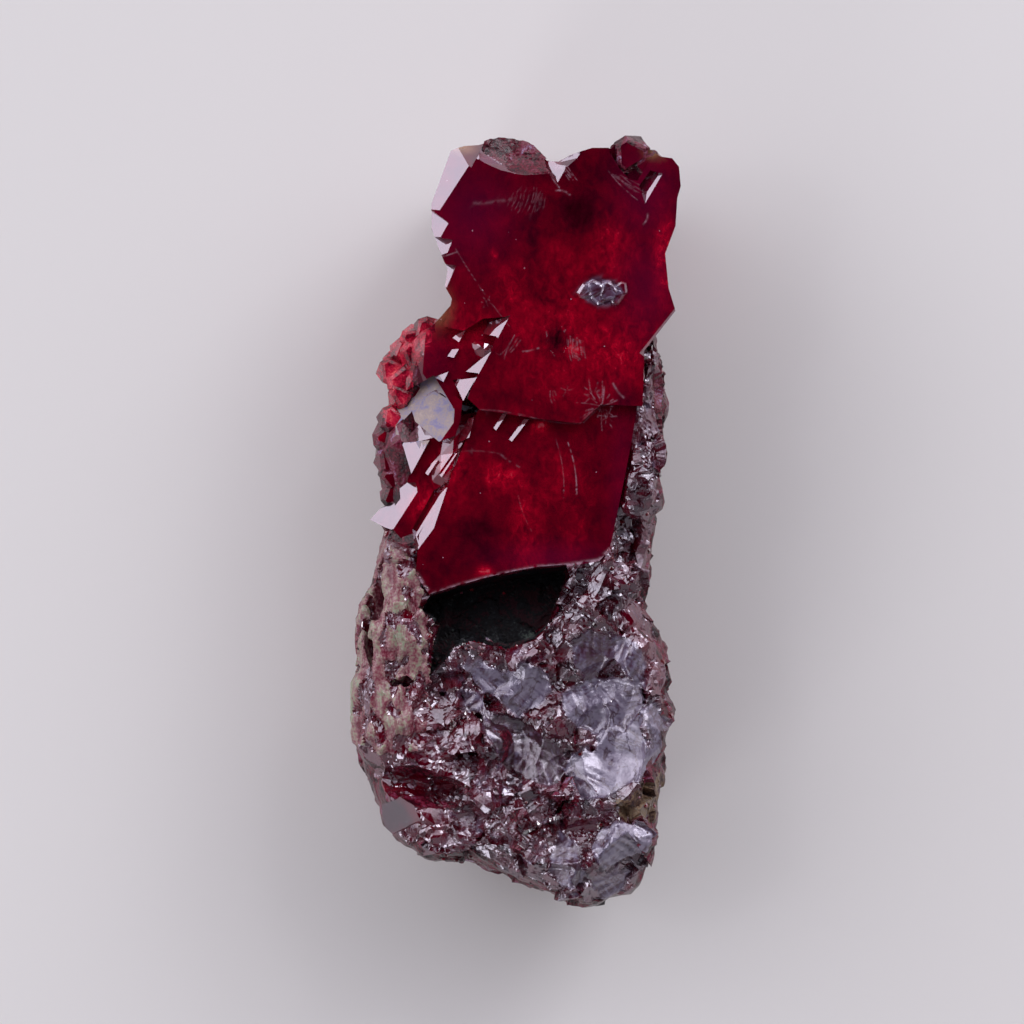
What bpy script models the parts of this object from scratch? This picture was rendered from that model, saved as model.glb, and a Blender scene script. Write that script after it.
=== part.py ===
"""Cuprite specimen: one broken-off piece of grown-together crystals, lying on its back.

The frame is in metres: +Y towards the clear crystal end, +X to the right seen from above, +Z up
through the face that shows. Sizes below are in millimetres on the real specimen, and MM turns them
into metres. The clear crystal, the gem below it, the small crystals and the broken root grew as one
piece, so they are joined in one solid.
"""

import math

import bmesh
import bpy
from mathutils import Matrix, Vector, noise

MM = 0.001

# Driving heights above the resting face
CRYSTAL_FRONT = 12.9
GEM_FRONT = 12.35
ROOT_FRONT = 12.1
CRYSTAL_BACK = -0.6
BODY_BACK = -0.4
GEM_BACK = 4.0

# Cuprite is cubic. The front face is an octahedron face, and every other face follows from it.
DODECAHEDRON_TILT = math.degrees(math.acos(math.sqrt(2.0 / 3.0)))
CUBE_TILT = math.degrees(math.acos(math.sqrt(1.0 / 3.0)))
OCTAHEDRON_TILT = math.degrees(math.acos(1.0 / 3.0))
FLASH_AZIMUTH = 147.0
DODECAHEDRON_AZIMUTHS = [FLASH_AZIMUTH, FLASH_AZIMUTH + 120.0, FLASH_AZIMUTH + 240.0]
CUBE_AZIMUTHS = [azimuth + 60.0 for azimuth in DODECAHEDRON_AZIMUTHS]

# Outlines seen from above, clockwise, in millimetres
CRYSTAL_OUTLINE = [
    (-4.9, 18.3), (-3.8, 21.4), (-3.0, 21.7), (-2.2, 21.8), (-1.05, 22.2), (-0.1, 22.15),
    (1.0, 21.7), (1.8, 20.8), (2.4, 20.75), (3.1, 21.1), (4.4, 21.5), (5.5, 21.5), (5.9, 21.9),
    (7.8, 21.4), (8.3, 21.0), (9.0, 20.9), (9.4, 20.4), (9.5, 19.3), (9.3, 18.6), (9.2, 17.0),
    (8.6, 15.4), (8.8, 13.4), (9.2, 12.1), (7.4, 9.8), (7.3, 6.6), (4.9, 6.7), (3.7, 5.6),
    (1.1, 5.9), (-2.1, 6.4), (-2.8, 7.05), (-2.35, 8.2), (-2.1, 8.65), (-1.5, 9.7), (-1.1, 10.7),
    (-0.5, 11.75), (-1.9, 11.65), (-3.0, 10.95), (-4.2, 11.2), (-3.8, 12.3), (-3.7, 12.8),
    (-4.1, 13.5), (-3.95, 14.5), (-4.5, 15.8),
    (-4.9, 16.9),
]
GEM_OUTLINE = [
    (-2.1, 6.6), (1.1, 6.4), (4.0, 6.4), (7.1, 7.6), (7.0, 6.6), (6.7, 4.7), (6.2, 2.1),
    (5.4, -1.7), (4.8, -2.35), (2.9, -2.7), (1.4, -2.8), (-0.05, -3.05), (-1.6, -3.4),
    (-3.4, -3.9), (-4.9, -4.45), (-5.8, -3.1), (-5.6, -0.8), (-3.85, 2.35),
]
BODY_OUTLINE = [
    (3.0, 12.0), (7.6, 11.4), (8.6, 10.7), (8.5, 9.9), (8.6, 9.2), (8.6, 6.9), (9.05, 4.6),
    (9.1, 3.6), (8.45, 2.65), (8.4, 0.3), (8.3, -1.6), (7.9, -3.3), (7.2, -4.7), (7.4, -5.5),
    (8.05, -5.5), (8.5, -6.7), (8.85, -8.1), (9.1, -9.7), (9.15, -11.7), (8.75, -13.6),
    (8.65, -14.3), (8.6, -17.1), (8.5, -17.9), (7.9, -19.2), (7.6, -20.3), (7.1, -21.3),
    (6.6, -21.9), (5.6, -21.6), (5.0, -22.25), (4.3, -22.35), (3.1, -22.35), (1.8, -21.85),
    (-0.1, -21.0), (-2.3, -19.95), (-3.0, -19.7), (-4.0, -19.7), (-4.6, -19.95),
    (-5.2, -19.75), (-5.9, -19.1), (-7.3, -18.45), (-8.0, -17.9), (-8.35, -16.2),
    (-8.8, -15.7), (-9.15, -14.6), (-9.35, -13.9), (-9.45, -11.3), (-9.6, -9.85),
    (-9.5, -9.3), (-8.75, -9.1), (-9.0, -8.4), (-9.1, -6.8), (-9.05, -5.6), (-8.5, -4.1),
    (-7.5, -1.5), (-7.6, 0.2), (-7.9, 1.2), (-7.95, 2.5), (-8.15, 4.2), (-8.15, 5.4),
    (-7.4, 6.9), (-7.2, 7.7), (-6.9, 9.2), (-6.2, 10.5), (-5.4, 11.2), (-3.0, 12.0),
]

# The body's cross sections, from the resting face up: height, share of the width and the length
BODY_SECTIONS = [
    (BODY_BACK, 0.66, 0.86),
    (1.6, 0.84, 0.94),
    (4.5, 0.96, 0.99),
    (7.2, 1.0, 1.01),
    (9.4, 0.995, 1.005),
    (11.1, 0.955, 0.98),
    (ROOT_FRONT, 0.87, 0.94),
]
BODY_MIDDLE_Y = -5.0

# The clear crystal's sections: height, share of the width and the length
CRYSTAL_SECTIONS = [
    (CRYSTAL_BACK, 0.86, 0.95),
    (3.2, 0.93, 0.98),
    (8.6, 0.985, 0.995),
    (CRYSTAL_FRONT, 1.0, 1.0),
]
CRYSTAL_MIDDLE = (2.6, 13.0)

# Broken surface: size and height of the large and the small chips, and the grid that carries them
CHIPS = [(3.4, 1.0), (1.5, 0.36)]
FLANK_RIDGE_HEIGHT = 0.5
SIDE_STEADINESS = 0.7
CARRIER_GRID = 0.42
KEPT_TRIANGLES = 0.135
ROOM_UNDER_FACE = 0.6

# The dark recess under the gem's lower edge
RECESS_OUTLINE = [
    (-5.75, -5.45), (-4.95, -4.72), (-3.4, -4.24), (-1.6, -3.74), (-0.05, -3.4), (1.4, -3.14),
    (2.9, -3.04), (3.14, -3.7), (2.5, -4.75), (2.15, -5.9), (1.05, -7.0), (-0.5, -7.5),
    (-2.6, -7.0), (-3.5, -7.4), (-4.0, -8.05), (-5.1, -9.3), (-4.95, -7.3), (-4.6, -6.1),
]
RECESS_FLOOR = 9.3
RECESS_SLOPE = math.radians(9.0)

# Shells left by breaking: centre, half width, half length, depth and turn
SHELLS = [
    ("right_shell", (4.9, -12.3), 2.7, 3.9, 1.35, 12.0),
    ("upper_shell", (-0.8, -9.4), 2.9, 1.7, 0.95, -14.0),
    ("middle_shell", (0.2, -14.3), 2.0, 1.5, 0.9, 30.0),
    ("lower_shell", (3.2, -18.4), 2.7, 1.4, 0.95, 24.0),
    ("left_band", (-5.7, -15.4), 3.5, 1.1, 1.7, -12.0),
    ("dent", (4.5, -12.0), 0.6, 0.95, 1.75, -20.0),
    ("crystal_top_break", (0.4, 22.0), 3.5, 2.1, 1.3, -8.0),
    ("strip_hollow", (7.9, 4.6), 1.0, 2.6, 1.1, 0.0),
    ("lens_pit_1", (-6.7, -6.5), 0.35, 0.95, 1.6, 10.0),
    ("lens_pit_2", (-6.6, -9.35), 0.75, 0.3, 0.8, 8.0),
    ("lens_pit_3", (-7.9, -5.8), 0.35, 1.4, 2.2, 6.0),
]

# Faces cut on the outside: a point on the face, azimuth and tilt of its normal, half the width
CUT_FACES = [
    ("right_diagonal", (8.3, 11.15, CRYSTAL_FRONT), 321.5, CUBE_TILT, 1.9),
    ("corner_face", (-3.02, 21.1, 12.4), 60.5, 50.0, 0.75),
    ("diagonal_break", (5.3, -20.2, 11.2), 303.0, 46.0, 2.2),
    ("grey_facet", (-6.8, -17.1, 10.6), 207.0, CUBE_TILT, 0.95),
]

# Flashing faces, all parallel: outline seen from above and the height of its highest corner. Light
# reaches them along their downhill side, so each runs out past the edge of the flat that it cuts.
FLASH_FACES = [
    (
        "left_bevel_1",
        [(-4.2, 22.3), (-3.2, 21.9), (-2.5, 20.8), (-4.4, 17.9), (-5.5, 18.0), (-5.6, 21.0)],
        12.9,
    ),
    ("left_bevel_2", [(-5.6, 18.1), (-4.8, 17.85), (-3.9, 17.15), (-4.35, 16.35), (-5.6, 16.4)], 12.9),
    ("left_bevel_3", [(-5.2, 16.5), (-4.4, 16.3), (-3.65, 16.2), (-3.95, 15.45), (-5.2, 15.0)], 12.9),
    ("left_bevel_4", [(-3.45, 14.7), (-4.0, 13.45), (-4.9, 13.2), (-4.8, 14.9)], 12.9),
    ("top_facet", [(-2.2, 22.6), (-1.9, 21.1), (-2.2, 20.8), (-2.45, 21.1), (-2.6, 22.3)], 12.9),
    ("break_facet", [(0.6, 22.3), (0.9, 21.7), (1.4, 21.0), (1.0, 21.2), (0.5, 21.6)], 12.5),
    ("notch_face", [(1.6, 20.9), (2.6, 21.3), (3.05, 21.2), (2.8, 20.2), (2.4, 19.5), (1.7, 20.3)], 12.9),
    ("right_triangle", [(8.45, 20.0), (7.45, 18.3), (7.1, 19.3), (7.75, 20.2)], 12.9),
    (
        "square_face",
        [(-4.75, 8.4), (-4.0, 7.15), (-3.55, 6.4), (-3.6, 5.65), (-4.4, 4.5), (-7.0, 5.0), (-7.0, 7.2)],
        12.85,
    ),
    ("band_face", [(-7.2, 2.2), (-5.8, 2.2), (-5.7, 1.65), (-7.1, -0.5), (-8.4, -0.3)], 11.95),
    (
        "strip_face",
        [(-3.85, 2.3), (-4.2, 1.2), (-4.75, -0.45), (-5.8, -1.85), (-6.0, -0.5), (-4.75, 1.75)],
        12.35,
    ),
    ("tip_face", [(-8.9, 0.0), (-7.9, 1.3), (-7.1, 1.2), (-6.9, 0.3), (-7.3, -0.8)], 11.3),
]

# Small flashing steps that stand out of the terraces, each on a stub of its own with the same outline
FLASH_STEPS = [
    ("step_1", [(-0.4, 11.8), (-1.05, 10.6), (-1.9, 10.8), (-1.55, 11.45)], 12.9),
    ("step_2", [(-1.45, 9.75), (-2.15, 8.5), (-2.9, 8.6), (-2.05, 9.3)], 12.9),
    ("step_3", [(-2.3, 8.25), (-3.05, 6.9), (-3.6, 8.1)], 12.9),
    ("curved_step", [(-2.4, 6.0), (-2.7, 4.8), (-3.35, 4.5), (-3.15, 5.1), (-2.75, 5.9)], 12.7),
    ("triangle_step", [(-6.6, 4.5), (-5.0, 4.65), (-6.05, 2.7)], 12.35),
    ("small_step_1", [(-3.4, 3.9), (-4.3, 2.5), (-4.45, 2.65), (-3.65, 3.85)], 12.3),
    ("small_step_2", [(-4.5, 3.5), (-5.1, 2.6), (-5.25, 2.75), (-4.75, 3.45)], 12.25),
    ("small_step_3", [(-3.3, 9.9), (-3.6, 9.4), (-4.0, 9.5), (-3.7, 9.9)], 12.55),
    ("small_step_4", [(-3.9, 8.6), (-4.2, 8.0), (-4.7, 8.3)], 12.6),
    ("small_step_5", [(-2.9, 11.0), (-3.3, 10.3), (-3.7, 10.6)], 12.6),
    ("small_step_6", [(-0.5, 6.2), (-1.15, 5.2), (-1.3, 5.35), (-0.75, 6.2)], 12.6),
    ("small_step_7", [(0.75, 5.85), (-0.25, 4.55), (-0.4, 4.7), (0.45, 5.85)], 12.6),
]

# How much wider the cut that tops each step is than its stub
STEP_CUT = 1.08

# Faces that close the hidden back of the clear crystal
BACK_FACES = [
    ("back_left", (-2.6, 16.5, 0.0), FLASH_AZIMUTH + 30.0, 125.0),
    ("back_right", (6.6, 16.5, 0.0), 357.0, 122.0),
    ("back_top", (2.0, 19.2, 0.0), 87.0, 125.26),
    ("back_top_left", (-1.8, 19.0, 0.0), 132.0, 130.0),
    ("back_top_right", (6.4, 19.0, 0.0), 42.0, 128.0),
]

# Stepped growth down the left: flats parallel to the front, as outline seen from above and height
TERRACES = [
    (
        "upper_terrace",
        [
            (-3.55, 12.7), (-2.1, 12.2), (-0.4, 11.8), (-1.1, 10.7), (-1.5, 9.7), (-2.1, 8.65),
            (-2.4, 8.2), (-2.9, 7.0), (-3.5, 6.5), (-4.1, 7.2), (-4.8, 7.7), (-5.4, 8.5),
            (-5.3, 9.9), (-5.2, 10.9), (-4.5, 11.6),
        ],
        12.3,
    ),
    (
        "square_block",
        [
            (-3.1, 6.9), (-3.5, 7.2), (-4.05, 7.1), (-4.75, 7.5), (-6.1, 6.55), (-5.85, 5.75),
            (-4.45, 4.55), (-3.5, 4.9), (-3.2, 5.8),
        ],
        12.85,
    ),
    (
        "lower_terrace",
        [
            (-3.3, 6.1), (-2.1, 6.3), (-3.3, 4.6), (-3.7, 3.5), (-4.1, 1.8), (-5.0, -0.3),
            (-5.8, -1.85), (-6.5, -1.2), (-7.1, -0.55), (-7.75, -0.15), (-7.3, 0.5), (-6.7, 1.25),
            (-6.75, 1.85), (-6.3, 2.2), (-6.1, 2.9), (-6.5, 4.45), (-5.1, 4.7), (-4.45, 4.9),
        ],
        11.95,
    ),
    (
        "tip_plate",
        [(-8.5, 0.05), (-7.9, 0.7), (-7.2, 1.1), (-6.6, 0.2), (-7.0, -0.6), (-7.6, -0.4)],
        11.3,
    ),
]
TERRACE_ROOT = 7.5

# Small crystals at the outer left: middle and height of the front face, radius, turn, and how far
# out the flashing face lies, as a share of the radius
GROWTH_CRYSTALS = [
    ((-7.2, 5.9, 10.9), 0.6, 25.0, 0.3),
    ((-7.4, 4.8, 10.5), 0.7, 100.0, 0.3),
    ((-7.3, 3.5, 10.6), 0.65, 40.0, 0.3),
    ((-7.2, 2.4, 10.9), 0.5, 70.0, 0.3),
    ((-6.6, 7.3, 11.1), 0.6, 65.0, 0.3),
    ((-7.2, 1.4, 10.8), 0.5, 12.0, 0.3),
]

# The bright little cluster on the left and the knob at the top right, turned each its own way
CLUSTER_CRYSTALS = [
    ((-5.2, 11.0, 11.2), 0.6, 20.0, 0.36),
    ((-5.9, 10.5, 10.9), 0.62, 75.0, 0.36),
    ((-6.4, 9.8, 10.4), 0.66, 130.0, 0.36),
    ((-7.2, 8.7, 10.6), 0.62, 40.0, 0.36),
    ((-6.5, 8.1, 11.2), 0.75, 100.0, 0.36),
    ((-5.8, 9.6, 11.4), 0.7, 55.0, 0.36),
    ((-6.6, 9.0, 8.9), 0.85, 10.0, 0.36),
    ((-5.6, 10.1, 9.2), 1.0, 65.0, 0.36),
    ((-6.1, 7.6, 10.9), 0.7, 15.0, 0.36),
]
KNOB_HOLLOW = [
    (5.4, 21.2), (5.9, 20.4), (6.5, 19.7), (7.0, 19.6), (7.6, 20.6), (8.1, 21.3), (8.3, 22.5), (5.2, 22.9),
]
KNOB_FLOOR = 12.35
KNOB_CRYSTALS = [
    ((6.6, 21.1, 12.75), 0.85, 35.0, 0.36),
    ((7.6, 20.5, 12.6), 0.7, 80.0, 0.36),
]

# Ledges that stand out of the root: outline, low and high
LEDGES = [
    (
        "lilac_ledge",
        [(4.6, -18.4), (5.9, -17.4), (7.4, -17.5), (8.2, -18.1), (7.2, -18.9), (5.5, -19.6)],
        7.0,
        12.25,
    ),
    (
        "shell_step",
        [(2.7, -15.9), (3.3, -14.8), (3.6, -15.9), (3.2, -17.0)],
        8.0,
        12.3,
    ),
    (
        "upright_ledge",
        [(-4.0, -16.2), (-3.7, -16.3), (-3.75, -19.3), (-4.1, -19.4)],
        7.0,
        11.9,
    ),
]

# The mounded patch on the front, a row of tiny crystals grown together, and the pit beside it
PATCH_CRYSTALS = [
    ((4.0, 13.2, 13.05), 0.42, 0.0, 0.3),
    ((4.55, 13.35, 13.15), 0.45, 35.0, 0.3),
    ((4.75, 12.95, 13.1), 0.42, 80.0, 0.3),
    ((5.3, 13.2, 13.2), 0.5, 15.0, 0.3),
    ((5.75, 12.95, 13.1), 0.42, 60.0, 0.3),
    ((6.05, 13.35, 13.05), 0.36, 100.0, 0.3),
]
PIT_AT = (2.35, 10.3)
PIT_RADII = (0.62, 0.8, 0.45)

MERGE_DISTANCE = 0.004
SLIVER_LENGTH = 0.002


def clear_scene():
    for thing in list(bpy.data.objects):
        bpy.data.objects.remove(thing, do_unlink=True)


def new_collection(name):
    collection = bpy.data.collections.new(name)
    bpy.context.scene.collection.children.link(collection)
    return collection


def new_object(name, mesh, collection):
    thing = bpy.data.objects.new(name, mesh)
    collection.objects.link(thing)
    return thing


def mark_as_tool(thing):
    thing.hide_render = True
    thing.display_type = "WIRE"
    return thing


def normal_of(azimuth, tilt):
    """Direction tilted away from straight up towards an azimuth counted from +X."""
    turn = math.radians(azimuth)
    lean = math.radians(tilt)
    return Vector((math.sin(lean) * math.cos(turn), math.sin(lean) * math.sin(turn), math.cos(lean)))


def slab(name, outline, low, high, collection):
    """A flat outline thickened between two heights, as a welded mesh."""
    curve = bpy.data.curves.new(name + "_curve", "CURVE")
    curve.dimensions = "2D"
    curve.fill_mode = "BOTH"
    curve.extrude = (high - low) * MM / 2
    spline = curve.splines.new("POLY")
    spline.points.add(len(outline) - 1)
    for point, (x, y) in zip(spline.points, outline):
        point.co = (x * MM, y * MM, 0.0, 1.0)
    spline.use_cyclic_u = True
    guide = bpy.data.objects.new(name + "_guide", curve)
    collection.objects.link(guide)
    guide.location.z = (low + high) * MM / 2
    bpy.context.view_layer.update()
    mesh = settled_mesh(guide)
    mesh.transform(guide.matrix_world)
    bpy.data.objects.remove(guide, do_unlink=True)
    weld(mesh)
    return mark_as_tool(new_object(name, mesh, collection))


def settled_mesh(thing):
    graph = bpy.context.evaluated_depsgraph_get()
    return bpy.data.meshes.new_from_object(thing.evaluated_get(graph))


def weld(mesh):
    form = bmesh.new()
    form.from_mesh(mesh)
    bmesh.ops.remove_doubles(form, verts=form.verts, dist=MERGE_DISTANCE * MM)
    bmesh.ops.dissolve_degenerate(form, dist=SLIVER_LENGTH * MM, edges=form.edges)
    bmesh.ops.recalc_face_normals(form, faces=form.faces)
    form.to_mesh(mesh)
    form.free()


def boolean(target, other, operation, solver="EXACT"):
    """Joins or cuts. The chipped solid needs the other solver where the exact one loses it."""
    step = target.modifiers.new(other.name, "BOOLEAN")
    step.operation = operation
    step.solver = solver
    step.object = other


def settle(thing):
    """Puts what the modifiers make so far into the object's own mesh."""
    bpy.context.view_layer.update()
    mesh = settled_mesh(thing)
    thing.modifiers.clear()
    thing.data = mesh
    weld(mesh)


def loft(name, outline, sections, middle, collection):
    """One outline carried up through sections of other widths and lengths about a middle."""
    form = bmesh.new()
    rings = []
    for height, width, length in sections:
        ring = []
        for x, y in outline:
            across = middle[0] + (x - middle[0]) * width
            lengthways = middle[1] + (y - middle[1]) * length
            ring.append(form.verts.new(Vector((across, lengthways, height)) * MM))
        rings.append(ring)
    for lower, upper in zip(rings, rings[1:]):
        bmesh.ops.bridge_loops(form, edges=ring_edges(form, lower) + ring_edges(form, upper))
    for ring in (rings[0], rings[-1]):
        form.faces.new(ring)
    bmesh.ops.triangulate(form, faces=form.faces)
    bmesh.ops.recalc_face_normals(form, faces=form.faces)
    mesh = bpy.data.meshes.new(name)
    form.to_mesh(mesh)
    form.free()
    return new_object(name, mesh, collection)


def ring_edges(form, ring):
    edges = []
    for first, second in zip(ring, ring[1:] + ring[:1]):
        edge = form.edges.get((first, second))
        edges.append(edge or form.edges.new((first, second)))
    return edges


def chip_offset(place):
    """Height of a broken surface in millimetres: each cell of space is one tilted flat chip."""
    offset = 0.0
    for size, height in CHIPS:
        seed = noise.voronoi(place / size)[1][0]
        lean = noise.cell_vector(seed * 7.0) - Vector((0.5, 0.5, 0.5))
        lift = noise.cell(seed * 13.0) - 0.5
        within = place / size - seed
        offset += height * (2.2 * lean.dot(within) + 0.7 * lift)
    return offset


def is_inside(outline, x, y):
    """Whether a point seen from above lies inside an outline."""
    inside = False
    for (x0, y0), (x1, y1) in zip(outline, outline[1:] + outline[:1]):
        if (y0 > y) != (y1 > y) and x < x0 + (y - y0) * (x1 - x0) / (y1 - y0):
            inside = not inside
    return inside


def ridge_offset(place):
    """Flow-like ridges that run along the left flank."""
    stretched = Vector((place.x * 1.1, place.y * 0.22, place.z * 0.9))
    return FLANK_RIDGE_HEIGHT * (1.0 - 2.0 * abs(noise.noise(stretched * 1.4)))


def share(value, none_at, all_at):
    return min(1.0, max(0.0, (value - none_at) / (all_at - none_at)))


def break_surface(thing):
    """Gives the mass its chips and ridges, but leaves the resting face flat."""
    mesh = thing.data
    normals = [vertex.normal.copy() for vertex in mesh.vertices]
    for vertex, normal in zip(mesh.vertices, normals):
        place = vertex.co / MM
        above_rest = share(place.z, 0.4, 2.2)
        kept_in_outline = 1.0 - SIDE_STEADINESS * (1.0 - abs(normal.z))
        flank = share(place.x, -4.6, -6.0) * share(place.y, 0.5, -1.5) * share(place.y, -14.5, -12.5)
        offset = (1.0 - flank) * chip_offset(place) + flank * ridge_offset(place)
        offset *= above_rest * kept_in_outline
        moved = place + normal * offset
        if is_inside(GEM_OUTLINE, moved.x, moved.y):
            moved.z = min(moved.z, GEM_FRONT - ROOM_UNDER_FACE)
        if is_inside(CRYSTAL_OUTLINE, moved.x, moved.y):
            moved.z = min(moved.z, CRYSTAL_FRONT - ROOM_UNDER_FACE)
        vertex.co = moved * MM


def broken_body(collection):
    middle = (0.0, BODY_MIDDLE_Y)
    body = loft("cuprite_crystal", BODY_OUTLINE, BODY_SECTIONS, middle, collection)
    grid = body.modifiers.new("carrier", "REMESH")
    grid.mode = "VOXEL"
    grid.voxel_size = CARRIER_GRID * MM
    settle(body)
    break_surface(body)
    closed = body.modifiers.new("closed", "REMESH")
    closed.mode = "VOXEL"
    closed.voxel_size = CARRIER_GRID * MM
    fewer = body.modifiers.new("flats", "DECIMATE")
    fewer.ratio = KEPT_TRIANGLES
    settle(body)
    return body


def flash_cutter(name, outline, highest, collection):
    """A prism over an outline. Its underside lies in the flashing face, and cutting leaves that face."""
    slope = math.tan(math.radians(DODECAHEDRON_TILT))
    downhill = Vector((math.cos(math.radians(FLASH_AZIMUTH)), math.sin(math.radians(FLASH_AZIMUTH))))
    runs = [downhill.dot(Vector(corner)) for corner in outline]
    form = bmesh.new()
    lower = []
    upper = []
    for (x, y), run in zip(outline, runs):
        height = highest - slope * (run - min(runs))
        lower.append(form.verts.new(Vector((x, y, height)) * MM))
        upper.append(form.verts.new(Vector((x, y, CRYSTAL_FRONT + 2.0)) * MM))
    bmesh.ops.bridge_loops(form, edges=ring_edges(form, lower) + ring_edges(form, upper))
    for ring in (lower, upper):
        form.faces.new(ring)
    bmesh.ops.triangulate(form, faces=form.faces)
    bmesh.ops.recalc_face_normals(form, faces=form.faces)
    mesh = bpy.data.meshes.new(name)
    form.to_mesh(mesh)
    form.free()
    return mark_as_tool(new_object(name, mesh, collection))


def widened(outline, times):
    """An outline scaled up about its middle, so that a cut runs clear of the walls that it tops."""
    middle_x = sum(x for x, y in outline) / len(outline)
    middle_y = sum(y for x, y in outline) / len(outline)
    return [(middle_x + (x - middle_x) * times, middle_y + (y - middle_y) * times) for x, y in outline]


def face_cutter(name, point, azimuth, tilt, half_width, collection, reach=14.0):
    """A block whose underside lies in the crystal face, so that cutting with it leaves the face."""
    normal = normal_of(azimuth, tilt)
    along = Vector((0.0, 0.0, 1.0)).cross(normal).normalized()
    up_slope = normal.cross(along)
    turn = Matrix((along, up_slope, normal)).transposed().to_4x4()
    bpy.ops.mesh.primitive_cube_add(size=1.0)
    block = bpy.context.object
    block.name = name
    size = Matrix.Diagonal((2 * half_width * MM, 2 * reach * MM, reach * MM, 1.0))
    centre = (Vector(point) + normal * reach / 2) * MM
    block.data.transform(Matrix.Translation(centre) @ turn @ size)
    move_to(block, collection)
    return mark_as_tool(block)


def move_to(thing, collection):
    for owner in list(thing.users_collection):
        owner.objects.unlink(thing)
    collection.objects.link(thing)


def ellipsoid(name, centre, radii, collection, detail=3):
    bpy.ops.mesh.primitive_ico_sphere_add(subdivisions=detail, radius=1.0)
    ball = bpy.context.object
    ball.name = name
    size = Matrix.Diagonal((*[radius * MM for radius in radii], 1.0))
    ball.data.transform(Matrix.Translation(Vector(centre) * MM) @ size)
    move_to(ball, collection)
    return mark_as_tool(ball)


def shell_cutter(name, centre, half_width, half_length, depth, turn, collection):
    """A ball that dips into the front by the shell's depth."""
    surface = CRYSTAL_FRONT if centre[1] > 12.0 else ROOT_FRONT
    ball_height = half_width * half_width / (2 * depth) + depth / 2
    widen = ball_height / half_width
    radii = (half_width * widen, half_length * widen, ball_height)
    ball = ellipsoid(name, (0.0, 0.0, 0.0), radii, collection)
    place = Vector((centre[0], centre[1], surface - depth + ball_height)) * MM
    ball.data.transform(Matrix.Translation(place) @ Matrix.Rotation(math.radians(turn), 4, "Z"))
    return ball


def lattice_crystal(name, place, radius, turn, flash, collection):
    """A small crystal with an octahedron face up, dodecahedron, cube and octahedron faces round it."""
    form = bmesh.new()
    bmesh.ops.create_cube(form, size=8.0 * radius * MM)
    faces = [(Vector((0, 0, 1)), 0.0), (Vector((0, 0, -1)), 2.4 * radius)]
    for azimuth in DODECAHEDRON_AZIMUTHS:
        out = flash if azimuth == FLASH_AZIMUTH else 0.36
        faces.append((normal_of(azimuth + turn, DODECAHEDRON_TILT), out * radius))
        faces.append((normal_of(azimuth + turn, OCTAHEDRON_TILT), 0.78 * radius))
        faces.append((normal_of(azimuth + turn + 60.0, 180.0 - OCTAHEDRON_TILT), 1.5 * radius))
    for azimuth in CUBE_AZIMUTHS:
        faces.append((normal_of(azimuth + turn, CUBE_TILT), 0.72 * radius))
    for normal, distance in faces:
        parts = list(form.verts) + list(form.edges) + list(form.faces)
        cut = bmesh.ops.bisect_plane(
            form, geom=parts, plane_co=normal * distance * MM, plane_no=normal, clear_outer=True
        )
        rim = [item for item in cut["geom_cut"] if isinstance(item, bmesh.types.BMEdge)]
        if rim:
            bmesh.ops.contextual_create(form, geom=rim)
    bmesh.ops.recalc_face_normals(form, faces=form.faces)
    mesh = bpy.data.meshes.new(name)
    form.to_mesh(mesh)
    form.free()
    mesh.transform(Matrix.Translation(Vector(place) * MM))
    return mark_as_tool(new_object(name, mesh, collection))


def clear_crystal(collection):
    """The big crystal with the flat front, closed by crystal faces at its hidden back."""
    outline = CRYSTAL_OUTLINE
    crystal = loft("clear_crystal", outline, CRYSTAL_SECTIONS, CRYSTAL_MIDDLE, collection)
    mark_as_tool(crystal)
    for name, point, azimuth, tilt in BACK_FACES:
        boolean(crystal, face_cutter(name, point, azimuth, tilt, 12.0, collection), "DIFFERENCE")
    return crystal


def recess(collection):
    """The dark wedge: its floor slopes down under the gem's lower edge."""
    hollow = slab("recess", RECESS_OUTLINE, RECESS_FLOOR, RECESS_FLOOR + 6.0, collection)
    pivot = Vector((0.0, -4.5, RECESS_FLOOR)) * MM
    lean = Matrix.Rotation(-RECESS_SLOPE, 4, "X")
    hollow.data.transform(Matrix.Translation(pivot) @ lean @ Matrix.Translation(-pivot))
    return hollow


def cuprite_material():
    material = bpy.data.materials.new("cuprite")
    material.use_nodes = True
    shader = material.node_tree.nodes["Principled BSDF"]
    shader.inputs["Base Color"].default_value = (0.16, 0.003, 0.012, 1.0)
    shader.inputs["Roughness"].default_value = 0.12
    shader.inputs["Metallic"].default_value = 0.0
    return material


def cut_resting_face(thing):
    """Cuts the back off flat at height zero, as the face that the specimen rests on."""
    form = bmesh.new()
    form.from_mesh(thing.data)
    parts = list(form.verts) + list(form.edges) + list(form.faces)
    cut = bmesh.ops.bisect_plane(
        form, geom=parts, plane_co=(0.0, 0.0, 0.0), plane_no=(0.0, 0.0, -1.0), clear_outer=True
    )
    rim = [item for item in cut["geom_cut"] if isinstance(item, bmesh.types.BMEdge)]
    bmesh.ops.edgenet_fill(form, edges=rim)
    bmesh.ops.triangulate(form, faces=form.faces)
    bmesh.ops.recalc_face_normals(form, faces=form.faces)
    form.to_mesh(thing.data)
    form.free()


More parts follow.
